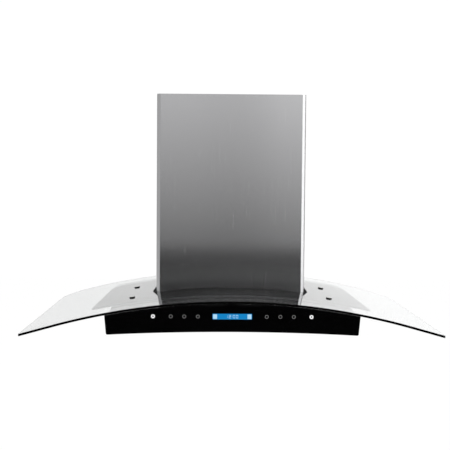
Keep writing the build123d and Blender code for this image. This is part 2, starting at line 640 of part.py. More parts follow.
# ---- filters ----
def make_filter(side, word):
    """One baffle filter: its frame, baffles, handle, latch and latch spring."""
    move = Pos(side * FILTER_X, 0, 0)
    z = (BODY_BOTTOM_Z, FILTER_TOP_Z)
    window_half = FILTER_HALF - FILTER_SIDE_RAIL
    window_y = (FILTER_Y[0] + FILTER_FRONT_RAIL, FILTER_Y[1] - FILTER_SIDE_RAIL)
    groove_half = window_half + FILTER_LIP_WIDTH
    groove_y = (window_y[0] - FILTER_LIP_WIDTH, window_y[1] + FILTER_LIP_WIDTH)
    groove_z = (z[0] + FILTER_LIP, z[1] - FILTER_LIP)

    frame = block((-FILTER_HALF, FILTER_HALF), FILTER_Y, z)
    heel = frame.edges().filter_by(Axis.X).sort_by(lambda e: e.center().Y - e.center().Z)[-1]
    frame = fillet(heel, FILTER_HEEL_R)
    frame -= block((-window_half, window_half), window_y, z)
    frame -= block((-groove_half, groove_half), groove_y, groove_z)
    tab_z = (FLOOR_Z + REST_GAP, FLOOR_Z + REST_GAP + TAB_THICKNESS)
    tab_y = (FILTER_Y[1] - TAB_ROOT, FILTER_Y[1] + TAB_REACH)
    for x in (-TAB_SPACING / 2, TAB_SPACING / 2):
        frame += block((x - TAB_WIDTH / 2, x + TAB_WIDTH / 2), tab_y, tab_z)
    pocket_half = LATCH_HALF + LATCH_SIDE_GAP
    frame -= block((-pocket_half, pocket_half), (FILTER_Y[0], POCKET_REAR_Y), POCKET_Z)
    slot_half = LATCH_NUB_HALF + LATCH_SIDE_GAP
    nub_y = LATCH_FRONT_Y + LATCH_NUB_INSET
    slot_y = (nub_y - LATCH_SIDE_GAP, nub_y + LATCH_NUB_DEPTH + LATCH_TRAVEL + LATCH_SIDE_GAP)
    frame -= block((-slot_half, slot_half), slot_y, (z[0], POCKET_Z[0]))
    save(f"filter_frame_{word}", move * frame)

    baffle_y = (groove_y[0] + REST_GAP, groove_y[1] - REST_GAP)
    make_baffles(move, word, groove_half - REST_GAP, baffle_y, groove_z)

    handle_y = (
        FILTER_Y[0] + FILTER_FRONT_RAIL - HANDLE_REAR_INSET - HANDLE_STRAP,
        FILTER_Y[0] + FILTER_FRONT_RAIL - HANDLE_REAR_INSET,
    )
    strap = block((-HANDLE_WIDTH / 2, HANDLE_WIDTH / 2), handle_y, (z[0] - HANDLE_DROP, z[0]))
    strap = fillet(strap.edges().filter_by(Axis.Y).sort_by(Axis.Z)[:2], HANDLE_THICKNESS * 2)
    inside_half = HANDLE_WIDTH / 2 - HANDLE_THICKNESS
    hollow = block((-inside_half, inside_half), handle_y, (z[0] - HANDLE_DROP + HANDLE_THICKNESS, z[0]))
    hollow = fillet(hollow.edges().filter_by(Axis.Y).sort_by(Axis.Z)[:2], HANDLE_THICKNESS)
    save(f"filter_handle_{word}", move * (strap - hollow))

    latch_z = (POCKET_Z[0] + REST_GAP, POCKET_Z[1] - REST_GAP)
    latch = block((-LATCH_HALF, LATCH_HALF), (LATCH_FRONT_Y, LATCH_REAR_Y), latch_z)
    tongue_x = (-LATCH_TONGUE_HALF, LATCH_TONGUE_HALF)
    tongue = block(tongue_x, (FILTER_Y[0] - LATCH_REACH, LATCH_FRONT_Y), latch_z)
    tip = tongue.edges().filter_by(Axis.X).sort_by(Axis.Y)[:2].sort_by(Axis.Z)[-1]
    latch += chamfer(tip, LATCH_THICKNESS / 2)
    nub_x = (-LATCH_NUB_HALF, LATCH_NUB_HALF)
    latch += block(nub_x, (nub_y, nub_y + LATCH_NUB_DEPTH), (z[0] - LATCH_NUB_DROP, latch_z[1]))
    save(f"latch_{word}", move * latch)

    wire_gap = LATCH_SPRING_WIRE / 2
    length = LATCH_SPRING_LENGTH - 2 * wire_gap
    coil = Helix(pitch=length / LATCH_SPRING_TURNS, height=length, radius=LATCH_SPRING_R)
    wire = Plane(origin=coil @ 0, z_dir=coil % 0) * Circle(LATCH_SPRING_WIRE / 2)
    spring = Rot(-90, 0, 0) * sweep(wire, path=coil)
    spring_z = (POCKET_Z[0] + POCKET_Z[1]) / 2
    save(f"latch_spring_{word}", Pos(side * FILTER_X, LATCH_REAR_Y + wire_gap, spring_z) * spring)


def make_baffles(move, word, half, y, z):
    """Two rows of channels that face each other, held by a bar at each end."""
    pitch = (2 * half + BAFFLE_GAP) / BAFFLE_COUNT
    width = pitch - BAFFLE_GAP
    centres = [(n - (BAFFLE_COUNT - 1) / 2) * pitch for n in range(BAFFLE_COUNT)]
    upper = [(a + b) / 2 for a, b in zip(centres, centres[1:])]
    bar_z = (z[0] + BAFFLE_LEG, z[1] - BAFFLE_LEG)
    baffles = block((-half, half), (y[0], y[0] + BAFFLE_BAR), bar_z)
    baffles += block((-half, half), (y[1] - BAFFLE_BAR, y[1]), bar_z)
    for x in centres:
        baffles += channel(x, width, y, (z[0], bar_z[0]), z[0])
    for x in upper:
        baffles += channel(x, width, y, (bar_z[1], z[1]), z[1] - BAFFLE_SHEET)
    save(f"filter_baffles_{word}", move * baffles)


def channel(x, width, y, z, web_z):
    """A folded strip: a flat web with a leg along each edge."""
    left, right = x - width / 2, x + width / 2
    strip = block((left, right), y, (web_z, web_z + BAFFLE_SHEET))
    strip += block((left, left + BAFFLE_SHEET), y, z)
    return strip + block((right - BAFFLE_SHEET, right), y, z)


# ---- blower ----
def make_casing():
    """The casing is five flat sheets, welded edge to edge and open below."""
    x = (-CASING_HALF_WIDTH, CASING_HALF_WIDTH)
    y = (CASING_FRONT_Y, CASING_REAR_Y)
    inside_x = (x[0] + CASING_WALL, x[1] - CASING_WALL)
    inside_y = (y[0] + CASING_WALL, y[1] - CASING_WALL)
    low = APEX_Z - DEEP
    shell = block(x, y, (low, CASING_TOP_Z))
    shell -= block(inside_x, inside_y, (low, CASING_TOP_Z - CASING_WALL))
    shell -= under_glass(GASKET_BOTTOM)
    shell -= Pos(0, DUCT_Y, 0) * rod(DUCT_HOLE_R, CASING_TOP_Z - CASING_WALL, CASING_TOP_Z)
    for place in COLLAR_SCREW_PLACES:
        shell -= place * rod(SMALL_SCREW_R, -SMALL_SCREW_LENGTH, 0)
    shell -= Pos(GLAND_X, GLAND_Y, 0) * rod(GLAND_STEM_R, CASING_TOP_Z - CASING_WALL, CASING_TOP_Z)
    height = (low, CASING_TOP_Z)
    sheets = [
        block(x, (y[0], inside_y[0]), height),
        block(x, (inside_y[1], y[1]), height),
        block((x[0], inside_x[0]), inside_y, height),
        block((inside_x[1], x[1]), inside_y, height),
        block(inside_x, inside_y, height),
    ]
    save("blower_casing", *[shell & sheet for sheet in sheets])

    flange_x = (x[0] - CASING_FLANGE, x[1] + CASING_FLANGE)
    flange_plan = rectangle(flange_x, (y[0] - CASING_FLANGE, y[1])) - rectangle(x, (y[0], FAR))
    flange = curved_sheet(flange_plan, GASKET_BOTTOM - CASING_WALL, GASKET_BOTTOM)
    for place in CASING_SCREW_PLACES:
        flange -= place * rod(SMALL_SCREW_R, -2 * GASKET_BOTTOM, 0)
    save("casing_flange", flange)

    plate_x = (-WALL_PLATE_HALF, WALL_PLATE_HALF)
    plate = block(plate_x, (CASING_REAR_Y, 0), (-WALL_PLATE_RISE, WALL_PLATE_RISE))
    for hole_x in (-WALL_HOLE_X, WALL_HOLE_X):
        for hole_z in (-WALL_HOLE_Z, WALL_HOLE_Z):
            plate -= Pos(hole_x, 0, hole_z) * rod(WALL_HOLE_R, CASING_REAR_Y, 0, "Y")
    save("wall_plate", plate)

    head = GASKET_BOTTOM - CASING_WALL
    screw = rod(SMALL_HEAD_R, -head, -head + SMALL_HEAD_HEIGHT)
    screw += rod(SMALL_SCREW_R, -head - SMALL_SCREW_LENGTH, -head)
    save("casing_screws", *[place * screw for place in CASING_SCREW_PLACES])


def scroll_block(grow, half_width):
    """The volute: three quarter turns of growing radius, then a flared outlet upwards."""
    first = SCROLL_RADIUS + grow
    second = first + SCROLL_STEP
    third = second + SCROLL_STEP
    middle = -SCROLL_STEP
    top = CASING_TOP_Z - CASING_WALL - SCROLL_Z
    bottom = -second
    centre = bottom + third
    left = middle - third
    half_1, half_2, half_3 = (radius * sin(radians(45)) for radius in (first, second, third))
    turn_1 = ThreePointArc((0, first), (half_1, half_1), (first, 0))
    turn_2 = ThreePointArc((first, 0), (middle + half_2, -half_2), (middle, bottom))
    turn_3 = ThreePointArc((middle, bottom), (middle - half_3, centre - half_3), (left, centre))
    outlet = Polyline((left, centre), (left, top), (SCROLL_FLARE + grow, top), (0, first))
    section = make_face([turn_1, turn_2, turn_3, outlet])
    place = Pos(-half_width, SCROLL_Y, SCROLL_Z)
    return place * extrude(Plane.YZ * section, amount=2 * half_width)


def make_scroll():
    scroll = scroll_block(SCROLL_WALL, SCROLL_HALF_WIDTH) - scroll_block(0, SCROLL_HALF_WIDTH - SCROLL_WALL)
    inlet = Pos(0, SCROLL_Y, SCROLL_Z) * rod(INLET_R, -SCROLL_HALF_WIDTH, SCROLL_HALF_WIDTH, "X")
    save("scroll_housing", scroll - inlet)


def make_rotor():
    axis = Pos(0, SCROLL_Y, SCROLL_Z)
    inner_half = IMPELLER_HALF_WIDTH - IMPELLER_SHEET
    blade = Rectangle(BLADE_THICKNESS, BLADE_LENGTH)
    middle_r = IMPELLER_R - BLADE_INSET - BLADE_LENGTH * cos(radians(BLADE_ANGLE)) / 2
    blade = Plane.YZ * (Pos(0, middle_r) * Rot(0, 0, BLADE_ANGLE) * blade)
    blade = Pos(-inner_half, 0, 0) * extrude(blade, amount=2 * inner_half)
    blades = [Rot(n * 360 / BLADE_COUNT, 0, 0) * blade for n in range(BLADE_COUNT)]
    save("impeller_blades", *[axis * b for b in blades])
    ring = rod(IMPELLER_R, inner_half, IMPELLER_HALF_WIDTH, "X")
    ring -= rod(IMPELLER_R - RING_WIDTH, inner_half, IMPELLER_HALF_WIDTH, "X")
    save("impeller_rings", *both_sides(axis * ring))
    disc = rod(IMPELLER_R, -IMPELLER_SHEET / 2, IMPELLER_SHEET / 2, "X")
    disc += rod(HUB_R, HUB_X[0], HUB_X[1], "X")
    disc -= rod(SHAFT_R, HUB_X[0], HUB_X[1], "X")
    for b in blades:
        disc -= b
    save("impeller_disc", axis * disc)
    shaft_start = MOTOR_X[1] - MOTOR_BORE_DEPTH + SHAFT_END_GAP
    save("motor_shaft", axis * rod(SHAFT_R, shaft_start, SHAFT_END_X, "X"))
    nut = Rot(0, 90, 0) * prism(6, ROTOR_NUT_R, HUB_X[1], HUB_X[1] + ROTOR_NUT_LENGTH)
    save("rotor_nut", axis * (nut - rod(SHAFT_R, HUB_X[1], HUB_X[1] + ROTOR_NUT_LENGTH, "X")))


def make_motor():
    axis = Pos(0, SCROLL_Y, SCROLL_Z)
    motor = rod(MOTOR_R, MOTOR_X[0], MOTOR_X[1], "X")
    motor = fillet(motor.edges().filter_by(GeomType.CIRCLE), MOTOR_EDGE_R)
    motor -= rod(SHAFT_R + SHAFT_RUNNING_GAP, MOTOR_X[1] - MOTOR_BORE_DEPTH, MOTOR_X[1], "X")
    save("motor", axis * motor)
    plate_x = (MOTOR_X[1], MOTOR_X[1] + BRACKET_SHEET)
    bracket = rod(MOTOR_R / 2, plate_x[0], plate_x[1], "X")
    for n in range(BRACKET_ARM_COUNT):
        arm = block(plate_x, (-BRACKET_ARM_WIDTH / 2, BRACKET_ARM_WIDTH / 2), (0, BRACKET_POST_AT))
        arm += Pos(0, 0, BRACKET_POST_AT) * rod(BRACKET_POST_R, plate_x[0], -SCROLL_HALF_WIDTH, "X")
        bracket += Rot(n * 360 / BRACKET_ARM_COUNT, 0, 0) * arm
    bracket -= rod(BRACKET_HOLE_R, plate_x[0], plate_x[1], "X")
    save("motor_bracket", axis * bracket)
    capacitor = rod(CAPACITOR_R, CAPACITOR_Z, CAPACITOR_Z + CAPACITOR_LENGTH)
    capacitor = fillet(capacitor.edges().filter_by(GeomType.CIRCLE), CAPACITOR_EDGE_R)
    capacitor_x = CASING_HALF_WIDTH - CASING_WALL - CAPACITOR_R
    save("run_capacitor", Pos(capacitor_x, CAPACITOR_Y, 0) * capacitor)


# ---- duct collar, damper and cable ----
COLLAR_SCREW_PLACES = [
    Pos(0, DUCT_Y, CASING_TOP_Z) * Rot(0, 0, 45 + 90 * n) * Pos(COLLAR_R + COLLAR_FLANGE / 2, 0, 0)
    for n in range(4)
]


def make_collar():
    top = CASING_TOP_Z + COLLAR_HEIGHT
    inner_r = COLLAR_R - COLLAR_WALL
    place = Pos(0, DUCT_Y, 0)
    collar = rod(COLLAR_R, CASING_TOP_Z, top)
    collar += rod(COLLAR_R + COLLAR_FLANGE, CASING_TOP_Z, CASING_TOP_Z + COLLAR_WALL)
    collar -= rod(inner_r, CASING_TOP_Z, top)
    stop_top = AXLE_Z - FLAP_THICKNESS / 2 - REST_GAP
    stop = rod(inner_r, stop_top - STOP_THICKNESS, stop_top)
    collar += stop - rod(inner_r - STOP_WIDTH, stop_top - STOP_THICKNESS, stop_top)
    axle = Pos(0, 0, AXLE_Z) * rod(AXLE_R, AXLE_END_INSET - COLLAR_R, COLLAR_R - AXLE_END_INSET, "Y")
    collar = place * (collar - axle)
    for screw_place in COLLAR_SCREW_PLACES:
        collar -= screw_place * rod(SMALL_SCREW_R, 0, COLLAR_WALL)
    save("duct_collar", collar)
    save("damper_axle", place * axle)
    screw = rod(SMALL_HEAD_R, COLLAR_WALL, COLLAR_WALL + SMALL_HEAD_HEIGHT)
    screw += rod(SMALL_SCREW_R, -SMALL_SCREW_LENGTH, COLLAR_WALL)
    save("collar_screws", *[p * screw for p in COLLAR_SCREW_PLACES])


def make_flap(side, word):
    """Half of the damper, with two knuckles round the axle."""
    flap_r = COLLAR_R - COLLAR_WALL - FLAP_RIM_GAP
    plate_z = (-FLAP_THICKNESS / 2, FLAP_THICKNESS / 2)
    inner_x = KNUCKLE_R + KNUCKLE_GAP
    flap = rod(flap_r, plate_z[0], plate_z[1]) & block((inner_x, FAR), (-FAR, FAR), plate_z)
    near, near_end, far, far_end = KNUCKLE_ENDS
    for low, high in ((near, near_end), (-far_end, -far)):
        flap += rod(KNUCKLE_R, low, high, "Y") + block((0, inner_x + FLAP_ROOT), (low, high), plate_z)
    flap -= rod(AXLE_R + AXLE_RUNNING_GAP, -far_end, far_end, "Y")
    turn = Rot(0, 0, 0) if side > 0 else Rot(0, 0, 180)
    save(f"damper_flap_{word}", Pos(0, DUCT_Y, AXLE_Z) * turn * flap)


def make_cable():
    place = Pos(GLAND_X, GLAND_Y, 0)
    stem_bottom = CASING_TOP_Z - CASING_WALL - GLAND_STEM_DROP
    gland = prism(6, GLAND_HEX_R, CASING_TOP_Z, CASING_TOP_Z + GLAND_HEX_HEIGHT)
    dome = rod(GLAND_DOME_R, CASING_TOP_Z, CASING_TOP_Z + GLAND_HEIGHT)
    gland += fillet(dome.edges().filter_by(GeomType.CIRCLE).sort_by(Axis.Z)[-1], GLAND_EDGE_R)
    gland += rod(GLAND_STEM_R, stem_bottom, CASING_TOP_Z)
    save("cable_gland", place * (gland - rod(GLAND_BORE_R, stem_bottom, CASING_TOP_Z + GLAND_HEIGHT)))
    run_down = Line((GLAND_X, GLAND_Y, stem_bottom), (GLAND_X, GLAND_Y, CABLE_Z + CABLE_BEND_R))
    diagonal = CABLE_BEND_R * (1 - cos(radians(45)))
    bend = ThreePointArc(
        (GLAND_X, GLAND_Y, CABLE_Z + CABLE_BEND_R),
        (GLAND_X, GLAND_Y - diagonal, CABLE_Z + diagonal),
        (GLAND_X, GLAND_Y - CABLE_BEND_R, CABLE_Z),
    )
    run_forward = Line((GLAND_X, GLAND_Y - CABLE_BEND_R, CABLE_Z), (GLAND_X, BOX_REAR_Y, CABLE_Z))
    route = Wire([run_down, bend, run_forward])
    section = Plane(origin=(GLAND_X, GLAND_Y, stem_bottom), z_dir=(0, 0, -1)) * Circle(CABLE_R)
    save("power_cable", sweep(section, path=route))


# ---- chimney ----
def channel_plan(half, front_y, rear_y, lip):
    """Plan of a folded cover: two bevelled front corners and a lip along each rear edge."""

    def outline(inset, fold_r):
        reach, front = half - inset, front_y + inset
        bevel = CHIMNEY_BEVEL - inset * tan(radians(22.5))
        plan = Polygon(
            (-reach, FAR),
            (-reach, front + bevel),
            (bevel - reach, front),
            (reach - bevel, front),
            (reach, front + bevel),
            (reach, FAR),
            align=None,
        )
        folds = plan.vertices().filter_by(lambda v: v.Y < front + 2 * CHIMNEY_BEVEL)
        return fillet(folds, fold_r)

    plan = outline(0, CHIMNEY_FOLD_R) - outline(CHIMNEY_SHEET, CHIMNEY_FOLD_R - CHIMNEY_SHEET)
    plan &= rectangle((-FAR, FAR), (front_y, rear_y))
    for side in (-1, 1):
        ends = sorted((side * half, side * (half - CHIMNEY_SHEET - lip)))
        plan += rectangle(ends, (rear_y - CHIMNEY_SHEET, rear_y))
    return plan


def make_chimney():
    plan = channel_plan(CHIMNEY_HALF_WIDTH, CHIMNEY_FRONT_Y, CHIMNEY_REAR_Y, CHIMNEY_LIP)
    cover = upright(plan, APEX_Z - DEEP, CHIMNEY_TOP_Z) - under_glass(-CHIMNEY_GLASS_GAP)
    tie_middle = Pos(0, sum(TIE_Y) / 2, sum(TIE_Z) / 2)
    screw_line = tie_middle * rod(TIE_SCREW_R, -CHIMNEY_HALF_WIDTH, CHIMNEY_HALF_WIDTH, "X")
    save("lower_chimney", cover - screw_line)

    inner = CHIMNEY_HALF_WIDTH - CHIMNEY_SHEET
    casing_foot = block((CASING_HALF_WIDTH, CASING_HALF_WIDTH + TIE_SHEET), TIE_Y, TIE_Z)
    web = block((CASING_HALF_WIDTH, inner), (TIE_Y[0] - TIE_SHEET, TIE_Y[0]), TIE_Z)
    cover_foot = block((inner - TIE_SHEET, inner), TIE_Y, TIE_Z)
    tie = casing_foot + web + (cover_foot - screw_line)
    save("chimney_brackets", *both_sides(tie))
    outer = CHIMNEY_HALF_WIDTH
    screw = rod(SMALL_HEAD_R, outer, outer + SMALL_HEAD_HEIGHT, "X")
    screw += rod(TIE_SCREW_R, outer - SMALL_SCREW_LENGTH, outer, "X")
    save("chimney_screws", *both_sides(tie_middle * screw))

    seat_z = APEX_Z - outer**2 / (2 * GLASS_RADIUS)
    clip_face = Polygon(
        (outer, seat_z - CLIP_HEIGHT),
        (outer + CLIP_WIDTH, seat_z - CLIP_HEIGHT),
        (outer + CLIP_WIDTH, seat_z - CLIP_TOE_DROP),
        (outer, seat_z + CLIP_HEIGHT),
        align=None,
    )
    clip = Pos(0, CLIP_Y[1], 0) * extrude(Plane.XZ * clip_face, amount=CLIP_Y[1] - CLIP_Y[0])
    save("chimney_clips", *both_sides(clip - under_glass(-CHIMNEY_GLASS_GAP)))


def make_upper_chimney():
    plan = channel_plan(UPPER_HALF_WIDTH, UPPER_FRONT_Y, UPPER_REAR_Y, UPPER_LIP)
    inner = UPPER_HALF_WIDTH - CHIMNEY_SHEET
    screw_place = Pos(0, (CEILING_ARM_Y + CEILING_FOOT_Y) / 2, sum(CEILING_Z) / 2)
    screw_line = screw_place * rod(TIE_SCREW_R, -UPPER_HALF_WIDTH, UPPER_HALF_WIDTH, "X")
    save("upper_chimney", upright(plan, UPPER_BOTTOM_Z, UPPER_TOP_Z) - screw_line)

    sheet = CEILING_SHEET
    strap = block((-CEILING_STRAP_HALF, CEILING_STRAP_HALF), (-sheet, 0), CEILING_Z)
    for x in (-CEILING_HOLE_X, CEILING_HOLE_X):
        strap -= Pos(x, 0, sum(CEILING_Z) / 2) * rod(CEILING_HOLE_R, -sheet, 0, "Y")
    arm_x = CEILING_STRAP_HALF - sheet
    leg = block((arm_x, CEILING_STRAP_HALF), (CEILING_ARM_Y, 0), CEILING_Z)
    leg += block((arm_x, inner), (CEILING_ARM_Y - sheet, CEILING_ARM_Y), CEILING_Z)
    leg += block((inner - sheet, inner), (CEILING_FOOT_Y, CEILING_ARM_Y), CEILING_Z)
    for side_leg in both_sides(leg - screw_line):
        strap += side_leg
    save("ceiling_bracket", strap)
    screw = rod(TIE_SCREW_R, inner - SMALL_SCREW_LENGTH, UPPER_HALF_WIDTH, "X")
    screw += rod(SMALL_HEAD_R, inner - sheet - SMALL_HEAD_HEIGHT, inner - sheet, "X")
    save("ceiling_bracket_screws", *both_sides(screw_place * screw))


make_glass()
make_support()
make_glass_fasteners()
make_body()
make_fascia()
make_controls()
make_control_box()
make_lamps()
make_filter(-1, "left")
make_filter(1, "right")
make_casing()
make_scroll()
make_rotor()
make_motor()
make_collar()
make_flap(-1, "left")
make_flap(1, "right")
make_cable()
make_chimney()
make_upper_chimney()
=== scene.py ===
import json
from functools import partialmethod
from math import asin, cos, pi, radians, sin, sqrt, tan, tau

import bmesh
import bpy
from mathutils import Matrix, Vector


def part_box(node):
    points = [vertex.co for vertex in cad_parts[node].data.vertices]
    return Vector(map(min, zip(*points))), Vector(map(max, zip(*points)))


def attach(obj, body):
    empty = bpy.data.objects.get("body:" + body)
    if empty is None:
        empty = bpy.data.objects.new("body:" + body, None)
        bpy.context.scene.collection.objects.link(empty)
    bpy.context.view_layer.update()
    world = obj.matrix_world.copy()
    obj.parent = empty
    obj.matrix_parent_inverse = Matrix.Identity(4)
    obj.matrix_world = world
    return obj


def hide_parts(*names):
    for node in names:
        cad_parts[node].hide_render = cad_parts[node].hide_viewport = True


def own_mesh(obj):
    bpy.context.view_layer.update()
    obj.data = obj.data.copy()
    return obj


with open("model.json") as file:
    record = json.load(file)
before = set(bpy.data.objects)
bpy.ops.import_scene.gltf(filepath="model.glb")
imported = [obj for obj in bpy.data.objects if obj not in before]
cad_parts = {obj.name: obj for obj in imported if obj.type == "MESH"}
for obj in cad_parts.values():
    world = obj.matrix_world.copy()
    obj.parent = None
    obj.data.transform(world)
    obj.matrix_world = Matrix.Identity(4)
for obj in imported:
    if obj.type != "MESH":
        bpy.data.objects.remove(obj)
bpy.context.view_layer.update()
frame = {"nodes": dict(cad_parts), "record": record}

MM = 0.001
RECORD = frame["record"]
SLOTS = {part["node"]: part["material_slot"] for part in RECORD["subparts"]}
BODY_OF = {name: body for body, names in RECORD["behaviour"]["bodies"].items() for name in names}

# ---- the curve that the glass and the sheets under it follow ----
GLASS_RADIUS = 1420 * MM
BEND_HALF = 378 * MM  # past this the wings are straight
CROWN_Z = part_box("glass_canopy")[1].z
SHEET_STEP = 6 * MM  # between the cuts that let a sheet bend smoothly
ARC_STEPS = 10  # in a rounded corner

# ---- camera, from the vanishing lines of the photograph ----
IMAGE_WIDTH = 450
SENSOR_WIDTH = 36
FOCAL_PIXELS = 994.04
PRINCIPAL_POINT = (220.328, 199.963)
EYE = Vector((-0.060454, -2.566814, 0.195076))
YAW, PITCH, ROLL = radians(0.908), radians(3.11), radians(-0.432)


# ---- node trees ----
def node(tree, kind, inputs=None, **settings):
    """Add a node. An input that is given a socket is linked to it."""
    made = tree.nodes.new(kind)
    for name, value in settings.items():
        setattr(made, name, value)
    for key, value in (inputs or {}).items():
        value = value.socket if isinstance(value, Term) else value
        if isinstance(value, bpy.types.NodeSocket):
            tree.links.new(value, made.inputs[key])
        else:
            made.inputs[key].default_value = value
    return made


class Term:
    """A number in a node tree, worked with as in ordinary arithmetic."""

    def __init__(self, tree, socket):
        self.tree = tree
        self.socket = socket

    def work(self, operation, *others):
        """The result of a Math node's operation."""
        values = dict(enumerate((self.socket, *others)))
        made = node(self.tree, "ShaderNodeMath", values, operation=operation)
        return Term(self.tree, made.outputs[0])

    __add__ = partialmethod(work, "ADD")
    __sub__ = partialmethod(work, "SUBTRACT")
    __mul__ = partialmethod(work, "MULTIPLY")
    __truediv__ = partialmethod(work, "DIVIDE")

    def clamp(self, low, high):
        return self.work("MAXIMUM", low).work("MINIMUM", high)


def spread(tree, value, low, high, from_low=0.0, from_high=1.0, kind="LINEAR"):
    """A value between low and high, as another runs between two others."""
    sockets = {"Value": value, "From Min": from_low, "From Max": from_high, "To Min": low, "To Max": high}
    made = node(tree, "ShaderNodeMapRange", sockets, interpolation_type=kind)
    return Term(tree, made.outputs["Result"])


def ease(tree, value, ends, span):
    """As spread, but slow at both ends."""
    return spread(tree, value, *ends, *span, "SMOOTHSTEP")


def object_place(tree):
    """A point's place in metres, on the piece's own axes."""
    return node(tree, "ShaderNodeTexCoord").outputs["Object"]


def object_axes(tree):
    """That place as its sockets X, Y and Z."""
    return node(tree, "ShaderNodeSeparateXYZ", {0: object_place(tree)}).outputs


def mix_colours(tree, share, first, second):
    """A colour between two others, each a socket or its red, green and blue."""
    first, second = ((*end, 1) if isinstance(end, tuple) else end for end in (first, second))
    return node(tree, "ShaderNodeMix", {0: share, 6: first, 7: second}, data_type="RGBA").outputs[2]


# ---- finishes ----
NOISE_SPAN = (0.3, 0.7)  # where most values of a noise lie


def finish(name, colour, roughness, metallic=0.0, **others):
    """A material with plain values on its shader; returns it with its tree and shader."""
    material = bpy.data.materials.new(name)
    material.use_nodes = True
    shader = material.node_tree.nodes["Principled BSDF"]
    values = {"Base_Color": (*colour, 1), "Roughness": roughness, "Metallic": metallic, **others}
    for key, value in values.items():
        shader.inputs[key.replace("_", " ")].default_value = value
    return material, material.node_tree, shader


def grain(tree, cells, detail=4.0):
    """Noise on the piece's own coordinates, in cells per metre along each axis."""
    scaled = node(tree, "ShaderNodeMapping", {"Vector": object_place(tree), "Scale": cells})
    sockets = {"Vector": scaled.outputs["Vector"], "Scale": 1.0, "Detail": detail, "Roughness": 0.6}
    return Term(tree, node(tree, "ShaderNodeTexNoise", sockets).outputs["Fac"])


def vary_colour(tree, shader, value, dark, light, span=NOISE_SPAN):
    """Let the base colour run from dark to light with a value."""
    colour = mix_colours(tree, spread(tree, value, 0.0, 1.0, *span), dark, light)
    tree.links.new(colour, shader.inputs["Base Color"])


def vary_roughness(tree, shader, value, low, high, span=NOISE_SPAN):
    """Let the roughness run from low to high with a value."""
    share = spread(tree, value, low, high, *span)
    tree.links.new(share.socket, shader.inputs["Roughness"])


def raise_surface(tree, shader, value, height, strength):
    """Bump from a value, with its real height in metres."""
    sockets = {"Height": value, "Distance": height, "Strength": strength}
    bump = node(tree, "ShaderNodeBump", sockets)
    tree.links.new(bump.outputs["Normal"], shader.inputs["Normal"])


STEEL_ROUGHNESS = (0.245, 0.275)
SCRATCH_SHARE = 0.75  # of colour and gloss that the scratches give; slow changes give the rest


def brushed_steel(name, scratches, changes, dark, light, mapped=False):
    """Stainless steel: fine scratches along one axis, and slow changes along them."""
    material, tree, shader = finish(name, light, STEEL_ROUGHNESS[0], 1.0)
    fine = grain(tree, scratches, 2.0)
    wide = grain(tree, changes, 2.0)
    both = fine * SCRATCH_SHARE + wide * (1 - SCRATCH_SHARE)
    vary_colour(tree, shader, both, dark, light)
    vary_roughness(tree, shader, both, *STEEL_ROUGHNESS)
    raise_surface(tree, shader, fine, 0.000004, 0.2)
    if mapped:
        shader.inputs["Anisotropic"].default_value = 0.75
        along = node(tree, "ShaderNodeTangent", direction_type="UV_MAP", uv_map="grain")
        tree.links.new(along.outputs["Tangent"], shader.inputs["Tangent"])
    return material


def spangled_zinc(name):
    """Galvanised sheet, with the crystals of its zinc."""
    material, tree, shader = finish(name, (0.5, 0.51, 0.52), 0.45, 0.85)
    place = object_place(tree)
    bent = node(tree, "ShaderNodeTexNoise", {"Vector": place, "Scale": 60.0, "Detail": 3.0})
    warped = mix_colours(tree, 0.02, place, bent.outputs["Color"])
    cells = node(tree, "ShaderNodeTexVoronoi", {"Vector": warped, "Scale": 110.0})
    parts = node(tree, "ShaderNodeSeparateColor", {"Color": cells.outputs["Color"]})
    shade = Term(tree, parts.outputs["Red"])
    vary_colour(tree, shader, shade, (0.4, 0.41, 0.42), (0.55, 0.56, 0.57), (0.0, 1.0))
    vary_roughness(tree, shader, shade, 0.34, 0.5, (0.0, 1.0))
    raise_surface(tree, shader, grain(tree, (900, 900, 900)), 0.00001, 0.3)
    return material


def painted(name, dark, light, roughness, texture=450, height=0.00001, **others):
    """Paint, moulding or plating: slightly uneven in colour, in gloss and in surface."""
    material, tree, shader = finish(name, dark, roughness, **others)
    value = grain(tree, (texture, texture, texture), 5.0)
    vary_colour(tree, shader, value, dark, light)
    vary_roughness(tree, shader, value, roughness * 0.85, roughness * 1.25)
    raise_surface(tree, shader, value, height, 0.5)
    return material


def black_glass(name):
    """Back-painted glass, polished, with the faint film that wiping leaves."""
    material, tree, shader = finish(name, (0.002, 0.002, 0.0023), 0.03)
    film = grain(tree, (14, 14, 40), 3.0)
    vary_colour(tree, shader, film, (0.0003, 0.0003, 0.0004), (0.0008, 0.0008, 0.0009))
    vary_roughness(tree, shader, film, 0.015, 0.05)
    return material


def clear_glass(name):
    """Toughened glass: a long way through it goes dark, as its edges show."""
    material, tree, shader = finish(name, (1, 1, 1), 0.0, IOR=1.5, Transmission_Weight=1.0)
    vary_roughness(tree, shader, grain(tree, (9, 9, 9), 3.0), 0.0, 0.012)
    sockets = {"Color": (0.05, 0.1, 0.09, 1), "Density": 30.0}
    absorption = node(tree, "ShaderNodeVolumeAbsorption", sockets)
    output = tree.nodes["Material Output"]
    tree.links.new(absorption.outputs["Volume"], output.inputs["Volume"])
    return material


DISPLAY_CELLS = 620  # per metre


def lit(name, colour):
    """A panel that shines by itself, a little darker along its grid of cells."""
    dim = tuple(0.2 * part for part in colour)
    material, tree, shader = finish(name, dim, 0.2, Emission_Strength=1.0)
    axes = object_axes(tree)
    lines = None
    for axis in ("X", "Z"):
        wave = Term(tree, axes[axis]) * (DISPLAY_CELLS * tau)
        line = spread(tree, wave.work("SINE"), 0.86, 1.0, -1.0, 0.2)
        lines = line * lines if lines else line
    tree.links.new(mix_colours(tree, lines, (0, 0, 0), colour), shader.inputs["Emission Color"])
    return material


